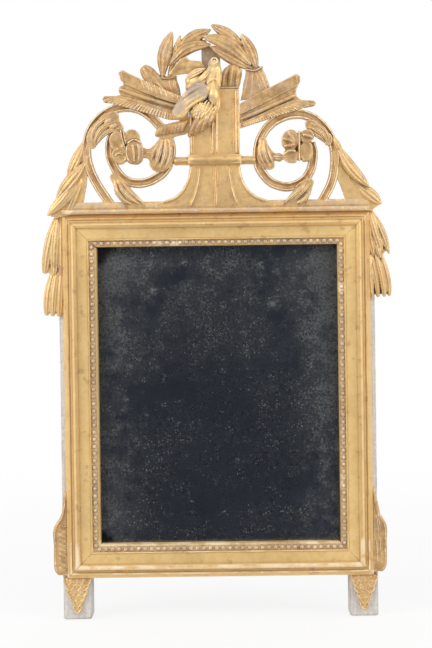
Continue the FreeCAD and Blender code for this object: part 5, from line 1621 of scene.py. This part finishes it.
# Brackets, out from the side of the post: the outline, its raised rim and the notches of the left one.
EAR_START = 205.3
EAR_OUTLINE = (
    (0, 62), (11.9, 62), (15.75, 66.4), (17.5, 75.3), (17.5, 125.3), (14, 132), (7.9, 140.8), (4.9, 149.7),
    (3.5, 164.1), (2.3, 173), (0, 173),
)
EAR_RIM = (
    (2, 64.8), (10.5, 64.8), (13.6, 68), (14.9, 76), (14.9, 100), (14.8, 124), (11.6, 130), (6, 139),
    (3, 150), (1.8, 171),
)
EAR_NOTCHES = 10
EAR_NOTCH_LOW = 69
EAR_NOTCH_PITCH = 6.4
EAR_NOTCH_SLOPE = 0.3
# Folds of the right bracket, as path and width.
EAR_FOLDS = (
    (((3, 166), (6.5, 136), (10.5, 112)), 6),
    (((3, 146), (6, 118), (5, 96)), 6),
    (((5.5, 118), (9, 98), (7, 78)), 6),
    (((3, 108), (4.5, 90), (4, 70)), 6),
    (((8.5, 96), (10.5, 84), (9, 70)), 5.5),
)


class MIRROR_OT_ears(bpy.types.Operator):
    """Carve the brackets at the lower corners"""

    bl_idname = "mirror.ears"
    bl_label = "Lower brackets"

    def execute(self, context):
        for word, side in SIDES:
            outline = [(side * (EAR_START + out), up) for out, up in EAR_OUTLINE]
            rim = [(side * (EAR_START + out), up, 6) for out, up in EAR_RIM]
            parts = [board(outline, back=0, front=10, edge=1.2), laid("round", rim, width=5.4, rise=4.9)]
            if side == LEFT:
                for index in range(EAR_NOTCHES):
                    up = EAR_NOTCH_LOW + index * EAR_NOTCH_PITCH
                    bar = [(-EAR_START - out, up + out * EAR_NOTCH_SLOPE, 7.2) for out in (0.5, 5.5, 11)]
                    parts.append(laid("feather", bar, width=5.2, rise=3.9))
            else:
                for fold, width in EAR_FOLDS:
                    path = [(EAR_START + out, up, 7) for out, up in fold]
                    parts.append(laid("laurel", path, width, rise=4.4))
            gilt(carved(f"lower_bracket_{word}", parts), f"{word}_ear", "crest_gilding")
        return {"FINISHED"}


# Leaf on the foot: half its outline as distance from the middle of the post and up, then rows of scales
# as up, width and count.
FOOT_OUTLINE = ((0, 57.4), (18.2, 57.4), (17.2, 50), (14.8, 42), (11.4, 33), (7.4, 24), (3.6, 16), (0, 10))
FOOT_ROWS = ((53, 33, 4), (46, 29, 3), (38.5, 23, 3), (31, 17, 2), (23.5, 9, 1), (16.5, 4, 1))
# One scale, as offsets from its middle.
SCALE_RIM = ((-5, 4.4), (-4.4, -1.6), (0, -5.2), (4.4, -1.6), (5, 4.4))
POST_MIDDLE = 192.5


class MIRROR_OT_foot_leaves(bpy.types.Operator):
    """Carve the leaf pendants on the feet"""

    bl_idname = "mirror.foot_leaves"
    bl_label = "Foot leaves"

    def execute(self, context):
        for word, side in SIDES:
            middle = side * POST_MIDDLE
            half = [(middle + out, up) for out, up in FOOT_OUTLINE]
            other = [(middle - out, up) for out, up in reversed(FOOT_OUTLINE[1:-1])]
            parts = [board(half + other, back=0, front=4.6, edge=1)]
            for up, width, count in FOOT_ROWS:
                for index in range(count):
                    out = middle + (index - (count - 1) / 2) * width / count
                    path = ((out, up + 5, 1.5), (out, up, 3), (out, up - 5, 2.2))
                    parts.append(laid("feather", path, width=8.4, rise=2.9))
                    rim = [(out + across, up + rise, 3.6) for across, rise in SCALE_RIM]
                    parts.append(laid("round", rim, width=2.8, rise=2.7))
            leaf = carved(f"foot_leaf_{word}_carved", parts, skin=0.8, soften=2, ripple=1.4)
            gilt(leaf, f"{word}_foot_leaf", "broad_gilding")
        return {"FINISHED"}


BACK_NODES = {
    "old_wood": (
        "top_rail", "bottom_rail", "left_backboard", "middle_backboard", "right_backboard", "glazing_blocks"),
    "forged_iron": ("backboard_nails", "hanger_plate", "hanger_screws", "hanging_ring"),
}


class MIRROR_OT_back(bpy.types.Operator):
    """Finish the boards, blocks and iron at the back"""

    bl_idname = "mirror.back"
    bl_label = "Back"

    def execute(self, context):
        for look, nodes in BACK_NODES.items():
            for node in nodes:
                dressed(node, look)
        return {"FINISHED"}


# The stage, in metres: two soft lamps, a floor that glows more with distance where it is looked at, and
# glowing cards seen only in the plate and in the gold, where they paint a dark reflection, as middle, size,
# dark and light of the glow.
SENSOR_WIDTH = 36
LAMP_PLACE = (1.8, -1.5, 1.5)
LAMP_AIM = (0, 0, 0.4)
LAMP_SIZE = 1.3
FLOOR_SIZE = 14
FLOOR_GLOW = 0.82
FLOOR_REACH = (0.3, 2.2)
FLOOR_DUST = (0.8, 0.8, 0.8)
WHITE = (1, 1, 1, 1)
BLACK = (0, 0, 0, 1)
CARDS = {
    # The dark card paints the dark reflection in the plate, the grey card a dimmer reflection across the
    # front of the gold.
    "dark_card": ((0, -0.12, 0.3), (0.37, 0.48), (0.05, 0.056, 0.07), (0.11, 0.12, 0.145)),
    "grey_card": ((0, -2.8, 0.7), (3.4, 2.6), (0.55, 0.55, 0.55), (0.66, 0.66, 0.66)),
}


class MIRROR_OT_stage(bpy.types.Operator):
    """Set the camera, the soft light and the floor"""

    bl_idname = "mirror.stage"
    bl_label = "Stage"

    def lay_floor(self, pale):
        """Lay a pale floor, brightest far away."""
        bpy.ops.object.select_all(action="DESELECT")
        bpy.ops.mesh.primitive_plane_add(size=FLOOR_SIZE)
        floor = bpy.context.object
        floor.name = "floor"
        look = Finish("pale_floor")
        grain = look.noise(8, detail=4)
        look.done(base=look.mix(grain * 0.05, pale, FLOOR_DUST), roughness=0.9, specular=0.0)
        away = look.make("ShaderNodeVectorMath", {"operation": "LENGTH"}, {0: look.place}, output="Value")
        share = look.seen() * (FLOOR_GLOW + away.over(*FLOOR_REACH) * (1 - FLOOR_GLOW))
        glow = look.make("ShaderNodeEmission", {}, {"Color": WHITE})
        plain = Value(look, look.shader.outputs[0])
        blend = look.make("ShaderNodeMixShader", {}, {0: share, 1: plain, 2: glow})
        look.fill(look.tree.nodes["Material Output"], {"Surface": blend})
        floor.data.materials.append(look.material)

    def card(self, name, middle, size, dark, light):
        """Stand a glowing card in front, hidden from the camera and from diffuse light, so that it is seen
        only as a painted reflection in the plate and the gold.
        """
        bpy.ops.object.select_all(action="DESELECT")
        bpy.ops.mesh.primitive_plane_add(size=1, location=middle, rotation=(math.pi / 2, 0, 0))
        piece = bpy.context.object
        piece.name = name
        piece.scale = (*size, 1)
        settle(piece)
        piece.visible_camera = False
        piece.visible_diffuse = False
        piece.visible_shadow = False
        look = Finish(f"{name}_cloth")
        # The mottled glow is what the plate and the gold show as painted reflection.
        glow_mottle = look.noise(9, detail=3)
        look.fill(look.shader, {"Emission Color": look.mix(glow_mottle, dark, light), "Emission Strength": 1.0})
        look.done(base=BLACK, roughness=1.0, specular=0.0)
        piece.data.materials.append(look.material)

    def execute(self, context):
        scene = context.scene
        stage = scene.mirror_stage
        scene.view_settings.view_transform = "Standard"
        bpy.ops.object.select_all(action="DESELECT")
        bpy.ops.object.camera_add(location=stage.eye)
        camera = bpy.context.object
        yaw, tilt, roll = stage.turn
        turn = (
            Matrix.Rotation(yaw, 4, "Z") @ Matrix.Rotation(math.pi / 2 - tilt, 4, "X")
            @ Matrix.Rotation(roll, 4, "Z"))
        camera.rotation_euler = turn.to_euler()
        camera.data.lens = stage.lens
        camera.data.sensor_width = SENSOR_WIDTH
        scene.camera = camera

        for side, power in ((LEFT, stage.left_lamp), (RIGHT, stage.right_lamp)):
            across, forward, up = LAMP_PLACE
            bpy.ops.object.light_add(type="AREA", location=(side * across, forward, up))
            lamp = bpy.context.object
            lamp.data.energy = power
            lamp.data.size = LAMP_SIZE
            lamp.rotation_euler = (Vector(LAMP_AIM) - lamp.location).to_track_quat("-Z", "Y").to_euler()

        self.lay_floor(stage.floor)
        for name, card in CARDS.items():
            self.card(name, *card)

        sky = Sky("soft_room")
        strength = stage.fill + sky.seen() * (1 - stage.fill)
        sky.fill(sky.shader, {"Color": WHITE, "Strength": strength})
        return {"FINISHED"}


MAKERS = (
    MIRROR_OT_mouldings, MIRROR_OT_pearls, MIRROR_OT_plate, MIRROR_OT_posts, MIRROR_OT_quiver, MIRROR_OT_dove,
    MIRROR_OT_wreaths, MIRROR_OT_arrows, MIRROR_OT_scrolls, MIRROR_OT_flowers, MIRROR_OT_scroll_leaves,
    MIRROR_OT_garlands, MIRROR_OT_drops, MIRROR_OT_ears, MIRROR_OT_foot_leaves, MIRROR_OT_back,
    MIRROR_OT_stage,
)


class VIEW3D_PT_mirror(bpy.types.Panel):
    """The pieces of the mirror, in the order in which they are made"""

    bl_label = "Wall mirror"
    bl_space_type = "VIEW_3D"
    bl_region_type = "UI"
    bl_category = "Mirror"

    def draw(self, context):
        for maker in MAKERS:
            self.layout.operator(maker.bl_idname)


GROUPS = (
    ("mirror_carving", CarvingSizes),
    ("mirror_colours", FinishColours),
    ("mirror_stage", StageSettings),
)


def register():
    for name, group in GROUPS:
        bpy.utils.register_class(group)
        setattr(bpy.types.Scene, name, bpy.props.PointerProperty(type=group))
    for maker in MAKERS:
        bpy.utils.register_class(maker)
    bpy.utils.register_class(VIEW3D_PT_mirror)


def unregister():
    bpy.utils.unregister_class(VIEW3D_PT_mirror)
    for maker in reversed(MAKERS):
        bpy.utils.unregister_class(maker)
    for name, group in reversed(GROUPS):
        delattr(bpy.types.Scene, name)
        bpy.utils.unregister_class(group)


def main():
    register()
    for maker in MAKERS:
        family, action = maker.bl_idname.split(".")
        getattr(getattr(bpy.ops, family), action)()
    cleared(*blanks.values())
    bpy.ops.object.select_all(action="DESELECT")


if __name__ == "__main__":
    main()
